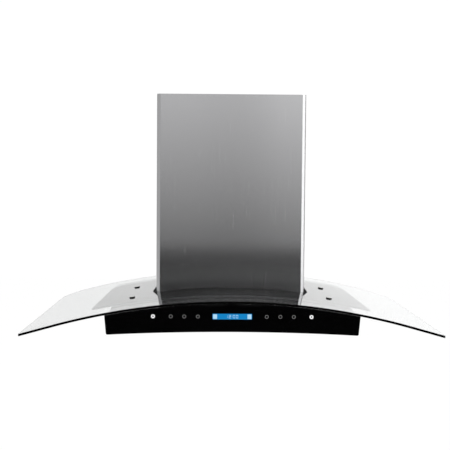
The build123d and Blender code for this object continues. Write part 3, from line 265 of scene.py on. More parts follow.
def circuit_board(name):
    """Green lacquer over a grid of copper tracks."""
    material, tree, shader = finish(name, (0.02, 0.12, 0.05), 0.35)
    colours = {
        "Color1": (0.02, 0.13, 0.06, 1),
        "Color2": (0.015, 0.09, 0.045, 1),
        "Mortar": (0.1, 0.2, 0.07, 1),
    }
    sockets = {"Vector": object_place(tree), "Scale": 220.0, **colours}
    tracks = node(tree, "ShaderNodeTexBrick", sockets)
    tree.links.new(tracks.outputs["Color"], shader.inputs["Base Color"])
    raise_surface(tree, shader, Term(tree, tracks.outputs["Fac"]), 0.00003, 0.5)
    return material


# cells per metre: of the scratches, and of the slow changes
UPRIGHT = ((3600, 3600, 14), (300, 300, 3))
LENGTHWISE = ((3600, 12, 3600), (220, 4, 220))
CROSSWISE = ((12, 3600, 3600), (4, 220, 220))
# darkest and lightest
STEEL = ((0.588, 0.588, 0.598), (0.618, 0.618, 0.628))
FILTER_STEEL = ((0.55, 0.55, 0.56), (0.66, 0.66, 0.67))
RUBBER = ((0.01, 0.01, 0.011), (0.018, 0.018, 0.019))
MOULDING = ((0.02, 0.02, 0.021), (0.034, 0.034, 0.035))
CAP = ((0.004, 0.004, 0.004), (0.008, 0.008, 0.008))
ZINC = ((0.5, 0.5, 0.47), (0.66, 0.66, 0.62))
CHROME = ((0.7, 0.7, 0.71), (0.78, 0.78, 0.79))
LENS = ((0.8, 0.8, 0.77), (0.9, 0.9, 0.87))
CASTING = ((0.5, 0.5, 0.51), (0.66, 0.66, 0.67))
MOTOR_PAINT = ((0.09, 0.09, 0.095), (0.13, 0.13, 0.135))
JACKET = ((0.02, 0.02, 0.02), (0.032, 0.032, 0.032))
POLISHED = ((0.86, 0.86, 0.87), (0.9, 0.9, 0.91))
GREY_PRINT = ((0.13, 0.13, 0.13), (0.17, 0.17, 0.17))
BLUE, PALE_BLUE, WHITE_PRINT = (0.004, 0.2, 0.49), (0.4, 0.64, 0.8), (0.9, 0.9, 0.9)

MATERIALS = {
    "clear_glass": clear_glass("clear_toughened_glass"),
    "black_glass": black_glass("polished_black_glass"),
    "display_glass": lit("lit_blue_display", BLUE),
    "stainless": brushed_steel("upright_brushed_steel", *UPRIGHT, *STEEL, mapped=True),
    "stainless_filter": brushed_steel("filter_steel", *LENGTHWISE, *FILTER_STEEL),
    "galvanised": spangled_zinc("galvanised_sheet"),
    "black_rubber": painted("matte_black_rubber", *RUBBER, 0.6, 900, 0.00004),
    "black_plastic": painted("moulded_black_plastic", *MOULDING, 0.42, 1100, 0.00003),
    "dark_plastic": painted("satin_black_cap", *CAP, 0.5, 300, Specular_IOR_Level=0.15),
    "circuit": circuit_board("green_circuit_board"),
    "zinc": painted("zinc_plate", *ZINC, 0.3, 700, metallic=1.0),
    "chrome": painted("polished_chrome", *CHROME, 0.09, 200, 0.000002, metallic=1.0),
    "lamp_glass": painted("frosted_lens", *LENS, 0.35, 500, 0.00002),
    "aluminium": painted("cast_aluminium", *CASTING, 0.45, 800, 0.00004, metallic=1.0),
    "motor_steel": painted("painted_motor_can", *MOTOR_PAINT, 0.4, 500, 0.00002),
    "cable_jacket": painted("cable_jacket", *JACKET, 0.5, 900, 0.00003),
}
BODY_STEEL = brushed_steel("lengthwise_brushed_steel", *CROSSWISE, *STEEL)
POLISHED_STEEL = painted("polished_steel_strip", *POLISHED, 0.06, 200, 0.000001, metallic=1.0)
PALE_LIGHT = lit("lit_pale_segments", PALE_BLUE)
WHITE_LIGHT = lit("lit_white_print", WHITE_PRINT)
GREY_INK = painted("grey_print", *GREY_PRINT, 0.4)


# ---- geometry node trees ----
def new_tree(name, sizes=(), others=()):
    """A tree that takes a shape, named sizes, other named inputs and a material."""
    tree = bpy.data.node_groups.new(name, "GeometryNodeTree")
    sockets = [("Geometry", "Geometry"), *((size, "Float") for size in sizes), *others]
    for label, kind in (*sockets, ("Material", "Material")):
        tree.interface.new_socket(label, in_out="INPUT", socket_type=f"NodeSocket{kind}")
    tree.interface.new_socket("Geometry", in_out="OUTPUT", socket_type="NodeSocketGeometry")
    inputs = tree.nodes.new("NodeGroupInput").outputs
    return tree, inputs, [Term(tree, inputs[size]) for size in sizes]


def close_tree(tree, inputs, shape):
    """End a tree as every one here ends: real faces, with their material."""
    real = node(tree, "GeometryNodeRealizeInstances", {"Geometry": shape})
    sockets = {"Geometry": real.outputs["Geometry"], "Material": inputs["Material"]}
    finished = node(tree, "GeometryNodeSetMaterial", sockets)
    output = tree.nodes.new("NodeGroupOutput")
    tree.links.new(finished.outputs["Geometry"], output.inputs["Geometry"])
    return tree


def grow(tree, piece, material, **numbers):
    """Run a tree on an object and keep the result as its plain mesh."""
    modifier = piece.modifiers.new(tree.name, "NODES")
    modifier.node_group = tree
    values = {name.replace("_", " ").capitalize(): value for name, value in numbers.items()}
    values["Material"] = material
    for item in tree.interface.items_tree:
        if item.in_out == "INPUT" and item.name in values:
            modifier[item.identifier] = values[item.name]
    depsgraph = bpy.context.evaluated_depsgraph_get()
    mesh = bpy.data.meshes.new_from_object(piece.evaluated_get(depsgraph), depsgraph=depsgraph)
    piece.modifiers.remove(modifier)
    piece.data = mesh
    return piece


def bending_tree():
    """Lay a flat sheet, whose depth is -Z, on the curve that the glass follows."""
    sizes = ("Radius", "Bend half", "Crown")
    tree, inputs, (radius, bend_half, crown) = new_tree("bend_to_glass_curve", sizes)
    place = node(tree, "GeometryNodeInputPosition").outputs[0]
    x, y, z = node(tree, "ShaderNodeSeparateXYZ", {0: place}).outputs
    across = Term(tree, x).work("ABSOLUTE")
    own_radius = radius + z
    slope_sine = bend_half / radius
    slope_cosine = (slope_sine * slope_sine * -1.0 + 1.0).work("SQRT")
    centre_z = crown - radius
    bend_end = own_radius * slope_sine
    round_z = centre_z + (own_radius * own_radius - across * across).work("MAXIMUM", 0.0).work("SQRT")
    wing_z = centre_z + own_radius * slope_cosine - (across - bend_end) * (slope_sine / slope_cosine)
    in_wing = across.work("GREATER_THAN", bend_end)
    height = round_z + (wing_z - round_z) * in_wing
    target = node(tree, "ShaderNodeCombineXYZ", {"X": x, "Y": y, "Z": height})
    sockets = {"Geometry": inputs["Geometry"], "Position": target.outputs[0]}
    moved = node(tree, "GeometryNodeSetPosition", sockets)
    return close_tree(tree, inputs, moved.outputs["Geometry"])


def placing_tree():
    """Stand a shape on each point, turned to the axis that the point carries."""
    tree, inputs, _ = new_tree("place_on_points", others=[("Shape", "Object")])
    shape = node(tree, "GeometryNodeObjectInfo", {"Object": inputs["Shape"]})
    axis = node(tree, "GeometryNodeInputNamedAttribute", {"Name": "axis"}, data_type="FLOAT_VECTOR")
    sockets = {"Vector": axis.outputs["Attribute"]}
    turn = node(tree, "FunctionNodeAlignRotationToVector", sockets, axis="Z")
    shape, turn = shape.outputs["Geometry"], turn.outputs[0]
    sockets = {"Points": inputs["Geometry"], "Instance": shape, "Rotation": turn}
    placed = node(tree, "GeometryNodeInstanceOnPoints", sockets)
    return close_tree(tree, inputs, placed.outputs[0])


def folding_tree():
    """Sweep a sheet along a folded section drawn in XY, and repeat it along X."""
    sizes = ("Sheet", "Length", "Fold radius", "Pitch")
    tree, inputs, terms = new_tree("folded_strips", sizes, [("Count", "Int")])
    sheet_size, length, fold_radius, pitch = terms
    line = node(tree, "GeometryNodeMeshToCurve", {"Mesh": inputs["Geometry"]})
    sockets = {"Curve": line.outputs[0], "Radius": fold_radius, "Limit Radius": True}
    folded = node(tree, "GeometryNodeFilletCurve", sockets, mode="POLY")
    folded.inputs["Count"].default_value = 5
    level = node(tree, "GeometryNodeSetCurveNormal", {"Curve": folded.outputs[0]}, mode="Z_UP")
    sockets = {"Width": sheet_size, "Height": length}
    sheet = node(tree, "GeometryNodeCurvePrimitiveQuadrilateral", sockets, mode="RECTANGLE")
    sockets = {"Curve": level.outputs[0], "Profile Curve": sheet.outputs[0], "Fill Caps": True}
    strip = node(tree, "GeometryNodeCurveToMesh", sockets)
    step = node(tree, "ShaderNodeCombineXYZ", {"X": pitch})
    sockets = {"Count": inputs["Count"], "Offset": step.outputs[0]}
    row = node(tree, "GeometryNodeMeshLine", sockets, mode="OFFSET")
    sockets = {"Points": row.outputs[0], "Instance": strip.outputs[0]}
    placed = node(tree, "GeometryNodeInstanceOnPoints", sockets)
    return close_tree(tree, inputs, placed.outputs[0])


BENDING = bending_tree()
PLACING = placing_tree()
FOLDING = folding_tree()


# ---- meshes ----
STOOD_FOR = set()  # the nodes that pieces made so far stand for


def link(name, data):
    """Put a mesh, a lamp or a camera into the scene as an object."""
    made = bpy.data.objects.new(name, data)
    bpy.context.scene.collection.objects.link(made)
    return made


def keep(name, bm):
    """Turn a bmesh into an object."""
    mesh = bpy.data.meshes.new(name)
    bm.to_mesh(mesh)
    bm.free()
    return link(name, mesh)


def add(bm, other):
    """Join one bmesh to another."""
    mesh = bpy.data.meshes.new("part")
    other.to_mesh(mesh)
    other.free()
    bm.from_mesh(mesh)
    bpy.data.meshes.remove(mesh)


def smooth(piece, angle=25):
    """Round faces shade as round, and corners past this angle stay crisp."""
    piece.data.shade_smooth()
    piece.data.set_sharp_from_angle(angle=radians(angle))
    return piece


def weigh(piece):
    """Large flat faces keep their own normals beside small round ones."""
    modifier = piece.modifiers.new("flat_faces_first", "WEIGHTED_NORMAL")
    modifier.keep_sharp = True
    modifier.weight = 100
    return piece


def dress(piece, name, material=None, printed=False):
    """Give a piece the body and slot of a node, which it stands for unless it is printed on it."""
    body, slot = BODY_OF[name], SLOTS[name]
    piece.data.materials.clear()
    piece.data.materials.append(material or MATERIALS[slot])
    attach(piece, body)
    if not printed:
        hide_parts(name)
        STOOD_FOR.add(name)


def rounded(corners):
    """A closed outline from (x, y, radius) corners, each drawn as an arc."""
    points = []
    for place, (x, y, radius) in enumerate(corners):
        here = Vector((x, y))
        if not radius:
            points.append(here)
            continue
        before = (Vector(corners[place - 1][:2]) - here).normalized()
        after = (Vector(corners[(place + 1) % len(corners)][:2]) - here).normalized()
        half = before.angle(after) / 2
        centre = here + (before + after).normalized() * (radius / sin(half))
        start = here + before * (radius / tan(half)) - centre
        turn = (pi - 2 * half) / ARC_STEPS
        if before.cross(after) > 0:
            turn = -turn
        for step in range(ARC_STEPS + 1):
            spoke = start.copy()
            spoke.rotate(Matrix.Rotation(turn * step, 2))
            points.append(centre + spoke)
    return points


def rectangle(left, low, right, high, corner=0):
    """A rectangle's outline."""
    corners = ((left, low), (right, low), (right, high), (left, high))
    return rounded([(x, y, corner) for x, y in corners])


def turns(steps):
    """The angles of so many even steps of a full turn."""
    return [tau * step / steps for step in range(steps)]


def circle(x, y, radius):
    """A circle's outline."""
    return [Vector((x + radius * cos(a), y + radius * sin(a))) for a in turns(32)]


def slab(loops, top, bottom, edge=0.0):
    """A flat plate with holes, as a bmesh: its edges are bevelled by edge."""
    bm = bmesh.new()
    faces = []
    for height in (top, bottom):
        rings = [[bm.verts.new((x, y, height)) for x, y in loop] for loop in loops]
        rims = [bm.edges.new((ring[i - 1], ring[i])) for ring in rings for i in range(len(ring))]
        bmesh.ops.triangle_fill(bm, edges=rims, use_beauty=True)
        faces.append(rings)
    for upper, lower in zip(*faces):
        join_rings(bm, [upper, lower])
    bmesh.ops.recalc_face_normals(bm, faces=bm.faces)
    if edge:
        sharp = [e for e in bm.edges if e.calc_face_angle(0) > radians(60)]
        level = [e for e in sharp if abs(e.verts[0].co.z - e.verts[1].co.z) < 1e-7]
        bmesh.ops.bevel(bm, geom=level, offset=edge, segments=2, profile=0.5, affect="EDGES")
    return bm


def join_rings(bm, rings):
    """Faces between closed rings of vertices; a ring that is all one vertex gives triangles."""
    for lower, upper in zip(rings, rings[1:]):
        for i in range(len(lower)):
            corners = dict.fromkeys((lower[i - 1], lower[i], upper[i], upper[i - 1]))
            bm.faces.new(list(corners))


def lathe(profile, steps):
    """Turn (radius, height) points about Z into a bmesh; a radius of 0 closes an end."""
    bm = bmesh.new()
    rings = []
    for radius, height in profile:
        if radius:
            spokes = [(radius * cos(a), radius * sin(a), height) for a in turns(steps)]
            rings.append([bm.verts.new(spoke) for spoke in spokes])
        else:
            rings.append([bm.verts.new((0, 0, height))] * steps)
    join_rings(bm, rings)
    bmesh.ops.recalc_face_normals(bm, faces=bm.faces)
    return bm


# ---- glass and the sheets under it ----
BROAD_FACE = cos(radians(8))  # a face this square to the curve is one of a sheet's broad faces
SCREW_X, SCREW_YS = 221.5 * MM, (-342 * MM, -180 * MM)
GLASS_SCREWS = [(side * SCREW_X, y) for side in (-1, 1) for y in SCREW_YS]
HOLE_R = 6 * MM
NOTCH = (156 * MM, -276.5 * MM)  # half width and front edge of the opening for the casing
GLASS_TAPER = 33.2 * MM  # how far each side draws in towards the rear
# front and rear
GLASS_CORNERS = (4 * MM, 48 * MM)
GASKET_HALVES = (306.5 * MM, 284.5 * MM)
GASKET_EDGES = (-395 * MM, -90 * MM)  # short of the rear edge of the plate below it
GASKET_CORNERS = (6 * MM, 34 * MM)
# of each face, under the top of the glass
GLASS_DEPTHS = (0, 5 * MM)
GASKET_DEPTHS = (5.15 * MM, 6.9 * MM)
FRONT_COVER_DEPTHS = (9 * MM, 10.2 * MM)


def bent_sheet(name, loops, depths, edge, material=None):
    """A sheet between two depths under the crown, laid on the glass curve."""
    bm = slab(loops, -depths[0], -depths[1], edge)
    count = int(BEND_HALF / SHEET_STEP)
    for place in range(-count, count + 1):
        everything = [*bm.verts, *bm.edges, *bm.faces]
        cut = (place * SHEET_STEP, 0, 0)
        bmesh.ops.bisect_plane(bm, geom=everything, plane_co=cut, plane_no=(1, 0, 0), dist=1e-7)
    sheet = keep(f"{name}_sheet", bm)
    sizes = {"radius": GLASS_RADIUS, "bend_half": BEND_HALF, "crown": CROWN_Z}
    grow(BENDING, sheet, MATERIALS[SLOTS[name]], **sizes)
    true_normals(smooth(sheet, 15).data)
    dress(sheet, name, material)


def square_to_curve(x):
    """The way that a sheet on the curve faces at x."""
    lean = max(-BEND_HALF, min(BEND_HALF, x)) / GLASS_RADIUS
    return Vector((lean, 0, sqrt(1 - lean**2)))


def true_normals(mesh):
    """Give the broad faces the normals of the curve itself, so that they mirror without ripples."""
    normals = [Vector(corner.vector) for corner in mesh.corner_normals]
    for face in mesh.polygons:
        for corner in face.loop_indices:
            square = square_to_curve(mesh.vertices[mesh.loops[corner].vertex_index].co.x)
            facing = square.dot(face.normal)
            if abs(facing) > BROAD_FACE:
                normals[corner] = square if facing > 0 else -square
    mesh.normals_split_custom_set(normals)


def glass_height(x, depth=0.0):
    """Height at x of the surface that lies this deep under the top of the glass."""
    radius = GLASS_RADIUS - depth
    slope = asin(BEND_HALF / GLASS_RADIUS)
    bend_end = radius * sin(slope)
    if abs(x) > bend_end:
        return CROWN_Z - GLASS_RADIUS + radius * cos(slope) - (abs(x) - bend_end) * tan(slope)
    return CROWN_Z - GLASS_RADIUS + sqrt(radius**2 - x**2)


def notched(halves, edges, corners):
    """Plan of a sheet that narrows to the rear, with the casing's opening in its rear edge."""
    notch_half, notch_y = NOTCH
    (front_half, rear_half), (front_y, rear_y), (front_corner, rear_corner) = halves, edges, corners
    return rounded([
        (-front_half, front_y, front_corner),
        (front_half, front_y, front_corner),
        (rear_half, rear_y, rear_corner),
        (notch_half, rear_y, 0),
        (notch_half, notch_y, 0),
        (-notch_half, notch_y, 0),
        (-notch_half, rear_y, 0),
        (-rear_half, rear_y, rear_corner),
    ])


def make_glass_and_gasket():
    """The clear canopy and the dark sheet under it, both with holes for the glass screws."""
    low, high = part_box("glass_canopy")
    holes = [circle(x, y, HOLE_R) for x, y in GLASS_SCREWS]
    plan = notched((high.x, high.x - GLASS_TAPER), (low.y, high.y), GLASS_CORNERS)
    bent_sheet("glass_canopy", [plan, *holes], GLASS_DEPTHS, 0.4 * MM)
    plan = notched(GASKET_HALVES, GASKET_EDGES, GASKET_CORNERS)
    bent_sheet("glass_gasket", [plan, *holes], GASKET_DEPTHS, 0.0)


def make_front_cover():
    """The bright strip under the front of the glass."""
    low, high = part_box("front_cover")
    plan = rectangle(low.x, low.y, high.x, high.y)
    bent_sheet("front_cover", [plan], FRONT_COVER_DEPTHS, 0.3 * MM, POLISHED_STEEL)


# ---- chimney covers ----
COVER_SHEET = 1.2 * MM
COVER_BEVEL = 8.5 * MM
FOLD_R = 1.5 * MM
SIDE_FOLD_R = 9 * MM
FOOT_GAP = 0.2 * MM  # between the lower cover and the glass
LOWER_LIP, UPPER_LIP = 10 * MM, 8 * MM  # how far each rear edge is folded in
WALL_LEVELS = (0.0, 0.004, 0.5, 0.996, 1.0)  # of a wall's vertices, as shares of its height


def offset_path(path, distance):
    """An open path moved sideways, to the left of its direction."""
    moved = []
    ways = [(after - here).normalized() for here, after in zip(path, path[1:])]
    for here, first, second in zip(path, [ways[0], *ways], [*ways, ways[-1]]):
        along = (first + second).normalized()
        across = Vector((-along.y, along.x))
        moved.append(here + across * (distance / max(along.dot(first), 0.5)))
    return moved


def cover_section(half, front, rear, lip):
    """The outer line of a cover's section; its front has points enough to follow the glass."""
    corners = [
        (-half + COVER_SHEET + lip, rear, 0),
        (-half, rear, FOLD_R),
        (-half, front + COVER_BEVEL, SIDE_FOLD_R),
        (COVER_BEVEL - half, front, FOLD_R),
    ]
    corners += [(-x, y, radius) for x, y, radius in reversed(corners)]
    outline = rounded(corners)
    points = []
    for here, after in zip(outline, outline[1:]):
        parts = int(half / SHEET_STEP) if (after - here).length > half else 1
        points += [here.lerp(after, part / parts) for part in range(parts)]
    return [*points, outline[-1]]


def columns(bm, path, foot, top):
    """Columns of vertices over a path; where the glass is higher than the foot they start on it."""
    made = []
    for x, y in path:
        start = max(foot, glass_height(x) + FOOT_GAP)
        made.append([bm.verts.new((x, y, start + (top - start) * level)) for level in WALL_LEVELS])
    return made


def map_grain(bm, grain_map, path, walls):
    """Lay the map for the steel's grain along a path and up its walls."""
    along = {}
    length = 0.0
    for place, (outside, inside) in enumerate(zip(*walls)):
        if place:
            length += (path[place] - path[place - 1]).length
        along.update(dict.fromkeys((*outside, *inside), length))
    for face in bm.faces:
        for corner in face.loops:
            corner[grain_map].uv = (along[corner.vert], corner.vert.co.z)


def make_cover(name, piece_name, lip):
    """A folded cover: its section drawn up, with a grain map and an even wall."""
    low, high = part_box(name)
    path = cover_section(high.x, low.y, high.y, lip)
    bm = bmesh.new()
    grain_map = bm.loops.layers.uv.new("grain")
    walls = [columns(bm, side, low.z, high.z) for side in (path, offset_path(path, COVER_SHEET))]
    rings = [[*outside, *reversed(inside)] for outside, inside in zip(*walls)]
    join_rings(bm, rings)
    for ring in (rings[0], rings[-1]):
        for i in range(len(WALL_LEVELS) - 1):
            bm.faces.new((ring[i], ring[i + 1], ring[-i - 2], ring[-i - 1]))
    bmesh.ops.recalc_face_normals(bm, faces=bm.faces)
    map_grain(bm, grain_map, path, walls)
    dress(weigh(smooth(keep(piece_name, bm), 50)), name)


# ---- nodes that keep their shape ----
CORNER_ANGLE = 30  # degrees; past it an edge is a corner
EDGE_BREAKS = {  # mm
    "body_shell": 0.5,
    "support_plate": 0.3,
    "blower_casing": 0,  # its sheets touch, and a bevel would open them
    "filter_frame_left": 0.9,
    "filter_frame_right": 0.9,
    "filter_handle_left": 0.7,
    "filter_handle_right": 0.7,
    "wall_plate": 0.6,
    "motor": 0,  # left sharp
    "duct_collar": 0.3,
}
PLAIN_EDGE = 0.25  # mm, of every other node
LEFT_AS_MADE = ("power_cable", "impeller_blades", "impeller_rings")


def joined(name):
    """A node's mesh as a bmesh, with the vertices that its triangles share."""
    bm = bmesh.new()
    bm.from_mesh(frame["nodes"][name].data)
    bmesh.ops.remove_doubles(bm, verts=bm.verts, dist=0.002 * MM)
    return bm


def soften(name, edge):
    """A copy of a node with its triangles joined and its edges broken, as on the real piece."""
    bm = joined(name)
    bmesh.ops.dissolve_limit(bm, angle_limit=radians(0.4), verts=bm.verts, edges=bm.edges)
    piece = smooth(keep(f"{name}_finished", bm), CORNER_ANGLE)
    if edge:
        bevel = piece.modifiers.new("broken_edges", "BEVEL")
        bevel.width = edge * MM
        bevel.segments = 2
        bevel.limit_method = "ANGLE"
        bevel.angle_limit = radians(CORNER_ANGLE)
        bevel.miter_outer = "MITER_ARC"
    dress(weigh(piece), name, BODY_STEEL if SLOTS[name] == "stainless" else None)


def finish_nodes():
    """Soften what no other piece stands for."""
    for name in SLOTS:
        if name not in STOOD_FOR and name not in LEFT_AS_MADE:
            soften(name, EDGE_BREAKS.get(name, PLAIN_EDGE))


def paint_nodes():
    """Give every node its finish, for those that show as they were made."""
    for name, piece in frame["nodes"].items():
        piece.data.materials.clear()
        piece.data.materials.append(MATERIALS[SLOTS[name]])


# ---- screws and their caps ----
CAP_PROFILE = ((0, 2.5), (3.2, 2.46), (5.0, 2.3), (5.9, 1.9), (6.3, 1.3), (6.5, 0.62), (0, 0.62))  # mm
HEAD_HEIGHT = 2.2 * MM
RECESS_Z = 0.45 * HEAD_HEIGHT  # the foot of a head's recess, over its seat
SHANK_R = 2 * MM
SCREW_WAYS = {"chimney_screws": None, "ceiling_bracket_screws": None, "collar_screws": (0, 0, 1)}


def islands(name):
    """The separate solids of a node, each as its lowest and highest corner."""
    bm = joined(name)
    left = set(bm.verts)
    boxes = []
    while left:
        stack = [left.pop()]
        group = []
        while stack:
            vert = stack.pop()
            group.append(vert.co.copy())
            others = {edge.other_vert(vert) for edge in vert.link_edges} & left
            left -= others
            stack += others
        boxes.append([Vector([end(values) for values in zip(*group)]) for end in (min, max)])
    bm.free()
    return boxes


def place_all(name, piece_name, shape, places):
    """Stand one shape on every (place, axis), as one mesh for a node."""
    mesh = bpy.data.meshes.new(piece_name)
    mesh.from_pydata([place for place, _ in places], [], [])
    axes = mesh.attributes.new("axis", "FLOAT_VECTOR", "POINT")
    for value, (_, axis) in zip(axes.data, places):
        value.vector = axis
    piece = grow(PLACING, link(piece_name, mesh), MATERIALS[SLOTS[name]], shape=shape)
    bpy.data.objects.remove(shape)
    dress(smooth(piece, 35), name)


def make_caps():
    """Domed caps over the four glass screws, square to the glass."""
    outline = [(radius * MM, height * MM) for radius, height in CAP_PROFILE]
    places = [((x, y, glass_height(x)), square_to_curve(x)) for x, y in GLASS_SCREWS]
    shape = keep("cap_shape", lathe(outline, 40))
    place_all("screw_caps", "domed_screw_caps", shape, places)


def cross(reach, width):
    """Outline of a cross recess."""
    arm = [(reach, width / 2), (width / 2, width / 2), (width / 2, reach)]
    outline = []
    for _ in range(4):
        outline += [Vector(corner) for corner in arm]
        arm = [(-y, x) for x, y in arm]
    return outline


def screw_shape(head_r, shank_length):
    """A pan-head screw that stands with its head up and its seat at the origin."""
    rim = circle(0, 0, head_r)
    recess = cross(0.55 * head_r, 0.24 * head_r)
    tip_z = -shank_length
    shank = [(0, 0.01 * MM), (SHANK_R, 0.01 * MM), (SHANK_R, tip_z + 0.6 * SHANK_R), (0, tip_z)]
    bm = slab([rim, recess], HEAD_HEIGHT, RECESS_Z, 0.12 * head_r)
    add(bm, slab([rim], RECESS_Z + 0.02 * MM, 0))
    add(bm, lathe(shank, 20))
    return keep("screw_shape", bm)


def outward(middle, span):
    """The way a screw's head faces: along its longest side, away from the middle of the hood."""
    longest = max(range(3), key=lambda i: span[i])
    way = Vector((0, 0, 0))
    way[longest] = 1 if middle[longest] > 0 else -1
    return way


def make_small_screws():
    """Screws that the solids show as plain heads; each stands where its own solid does."""
    for name, axis in SCREW_WAYS.items():
        places = []
        for low, high in islands(name):
            seat = (low + high) / 2
            span = high - low
            way = Vector(axis) if axis else outward(seat, span)
            length = abs(way.dot(span))
            head_r = min(side for side, along in zip(span, way) if not along) / 2
            places.append((seat + way * (length / 2 - HEAD_HEIGHT), way))
        place_all(name, f"{name}_recessed", screw_shape(head_r, length - HEAD_HEIGHT), places)


# ---- filters and lamps ----
BAFFLE_SHEET = 0.8 * MM
BAFFLE_GAP = 12 * MM
BAFFLE_LEG = 5 * MM
BAFFLE_BAR = 6 * MM
BAFFLE_FOLD_R = 1.6 * MM
BAFFLE_COUNT = 7
LENS_RINGS = 7
LENS_RIM = 1.2 * MM
LENS_CHAMFER = 0.3 * MM
LENS_GROOVE = (0.6 * MM, 0.45 * MM)  # wide and deep


def channels(half, leg, length, pitch, count):
    """A row of folded channels along X, drawn lengthwise in Z; leg is negative if it points down."""
    mesh = bpy.data.meshes.new("section")
    corners = [(-half, leg, 0), (-half, 0, 0), (half, 0, 0), (half, leg, 0)]
    mesh.from_pydata(corners, [(0, 1), (1, 2), (2, 3)], [])
    sizes = {"sheet": BAFFLE_SHEET, "length": length, "fold_radius": BAFFLE_FOLD_R}
    row = link("section", mesh)
    return grow(FOLDING, row, MATERIALS["stainless_filter"], pitch=pitch, count=count, **sizes)


def make_baffles(side):
    """Two rows of folded channels that face each other, held by a bar at each end."""
    name = f"filter_baffles_{side}"
    low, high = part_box(name)
    middle = (low + high) / 2
    pitch = (high.x - low.x + BAFFLE_GAP) / BAFFLE_COUNT
    half = (pitch - BAFFLE_GAP - BAFFLE_SHEET) / 2
    leg = BAFFLE_LEG - BAFFLE_SHEET / 2
    bm = bmesh.new()
    for count, web_z, way in ((BAFFLE_COUNT, low.z, 1), (BAFFLE_COUNT - 1, high.z, -1)):
        row = channels(half, leg * way, high.y - low.y, pitch, count)
        x = middle.x - (count - 1) * pitch / 2
        start = Matrix.Translation((x, middle.y, web_z + way * BAFFLE_SHEET / 2))
        row.data.transform(start @ Matrix.Rotation(radians(90), 4, "X"))
        bm.from_mesh(row.data)
        bpy.data.objects.remove(row)
    for y in (low.y, high.y - BAFFLE_BAR):
        bar = rectangle(low.x, y, high.x, y + BAFFLE_BAR)
        add(bm, slab([bar], high.z - BAFFLE_LEG, low.z + BAFFLE_LEG, 0.3 * MM))
    bmesh.ops.recalc_face_normals(bm, faces=bm.faces)
    dress(weigh(smooth(keep(f"{name}_channels", bm), 30)), name)


def make_lenses():
    """Frosted lenses with rings pressed into the face that looks down."""
    bm = bmesh.new()
    for low, high in islands("lamp_lenses"):
        radius, height = (high.x - low.x) / 2, high.z - low.z
        profile = [(0, height), (radius, height), (radius, LENS_CHAMFER), (radius - LENS_CHAMFER, 0)]
        for index in range(LENS_RINGS):
            outer = (radius - LENS_RIM) * (1 - index / LENS_RINGS)
            profile += [(outer, 0), (outer - LENS_GROOVE[0], LENS_GROOVE[1])]
        profile.append((0, LENS_CHAMFER))
        lens = lathe(profile, 48)
        middle = (low + high) / 2
        bmesh.ops.translate(lens, vec=(middle.x, middle.y, low.z), verts=lens.verts)
        add(bm, lens)
    dress(smooth(keep("ribbed_lenses", bm), 30), "lamp_lenses")


# ---- latch springs ----
SPRING_TURNS = 6
WIRE_R = 0.25 * MM
COIL_STEPS = 24  # per turn
WIRE_SIDES = 8


def coil(start, rise, radius):
    """A wire wound about Y that climbs by rise at each step."""
    bm = bmesh.new()
    rings = []
    for step in range(SPRING_TURNS * COIL_STEPS + 1):
        turn = tau * step / COIL_STEPS
        out = Vector((cos(turn), 0, sin(turn)))
        centre = start + rise * step + out * radius
        spokes = [out * cos(a) + Vector((0, sin(a), 0)) for a in turns(WIRE_SIDES)]
        rings.append([bm.verts.new(centre + spoke * WIRE_R) for spoke in spokes])
    join_rings(bm, rings)
    bm.faces.new(rings[0])
    bm.faces.new(rings[-1])
    bmesh.ops.recalc_face_normals(bm, faces=bm.faces)
    return bm


def make_latch_spring(side):
    """A coil that fills the spring's box; on the hood it shortens against the filter's frame as its latch
    is drawn back.
    """
    name = f"latch_spring_{side}"
    low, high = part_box(name)
    length = high.y - low.y
    start = Vector(((low.x + high.x) / 2, low.y + WIRE_R, (low.z + high.z) / 2))
    rise = Vector((0, (length - 2 * WIRE_R) / (SPRING_TURNS * COIL_STEPS), 0))
    spring = smooth(keep(f"{name}_coil", coil(start, rise, (high.x - low.x) / 2 - WIRE_R)), 50)
    dress(spring, name)
    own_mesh(spring)


# ---- fascia and controls ----
FASCIA_FACE_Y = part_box("fascia_panel")[0].y
FASCIA_TOP_HALF, FASCIA_FOOT_HALF = 272 * MM, 265.5 * MM
FASCIA_ARCH = 7 * MM
FASCIA_CORNER = 3.5 * MM
FASCIA_DEPTH = 5.3 * MM  # of its upper edge under the top of the glass
EDGE_STEPS = 48
CONTROL_Z = CROWN_Z - 32.3 * MM
DISPLAY_X = -0.8 * MM
DISPLAY_HALF_X, DISPLAY_HALF_Z = 41.5 * MM, 6.0 * MM
DISPLAY_INSET = 0.1 * MM
DISPLAY_DEPTH = 3.9 * MM
FIELD_HALF = 4.2 * MM
FIELD_MARGIN = 1.2 * MM
PRINT_LIFT = 0.05 * MM
SEGMENTS = {"0": "abcdef", "1": "bc", "2": "abged"}
FIGURE_HEIGHT, FIGURE_WIDTH, FIGURE_SPACE = 6.8 * MM, 4.2 * MM, 2.2 * MM
FIRST_FIGURE_X = DISPLAY_X - 13.5 * MM
COLON_SPACE = 2.4 * MM
STROKE = 0.9 * MM
STROKE_GAP = 0.1 * MM
TOUCH_XS = (-167.0, -129.8, -101.5, -72.9, 71.6, 100.2, 128.6, 165.7)  # mm
TOUCH_MARKS = (  # name, material, which of the keys, radius and stroke in mm
    ("touch_marks_bright", WHITE_LIGHT, (0, 7), 4.1, 2.3),
    ("touch_marks_grey", GREY_INK, range(1, 7), 3.9, 1.2),
)


def stand_up(bm, front_y):
    """Turn a mesh drawn in XY to face the front, with its top at front_y."""
    turn = Matrix.Translation((0, front_y, 0)) @ Matrix.Rotation(radians(90), 4, "X")
    bmesh.ops.transform(bm, matrix=turn, verts=bm.verts)
    return bm


def edge_xs(reach):
    """Even steps from -reach to reach."""
    return [-reach + 2 * reach * step / EDGE_STEPS for step in range(EDGE_STEPS + 1)]


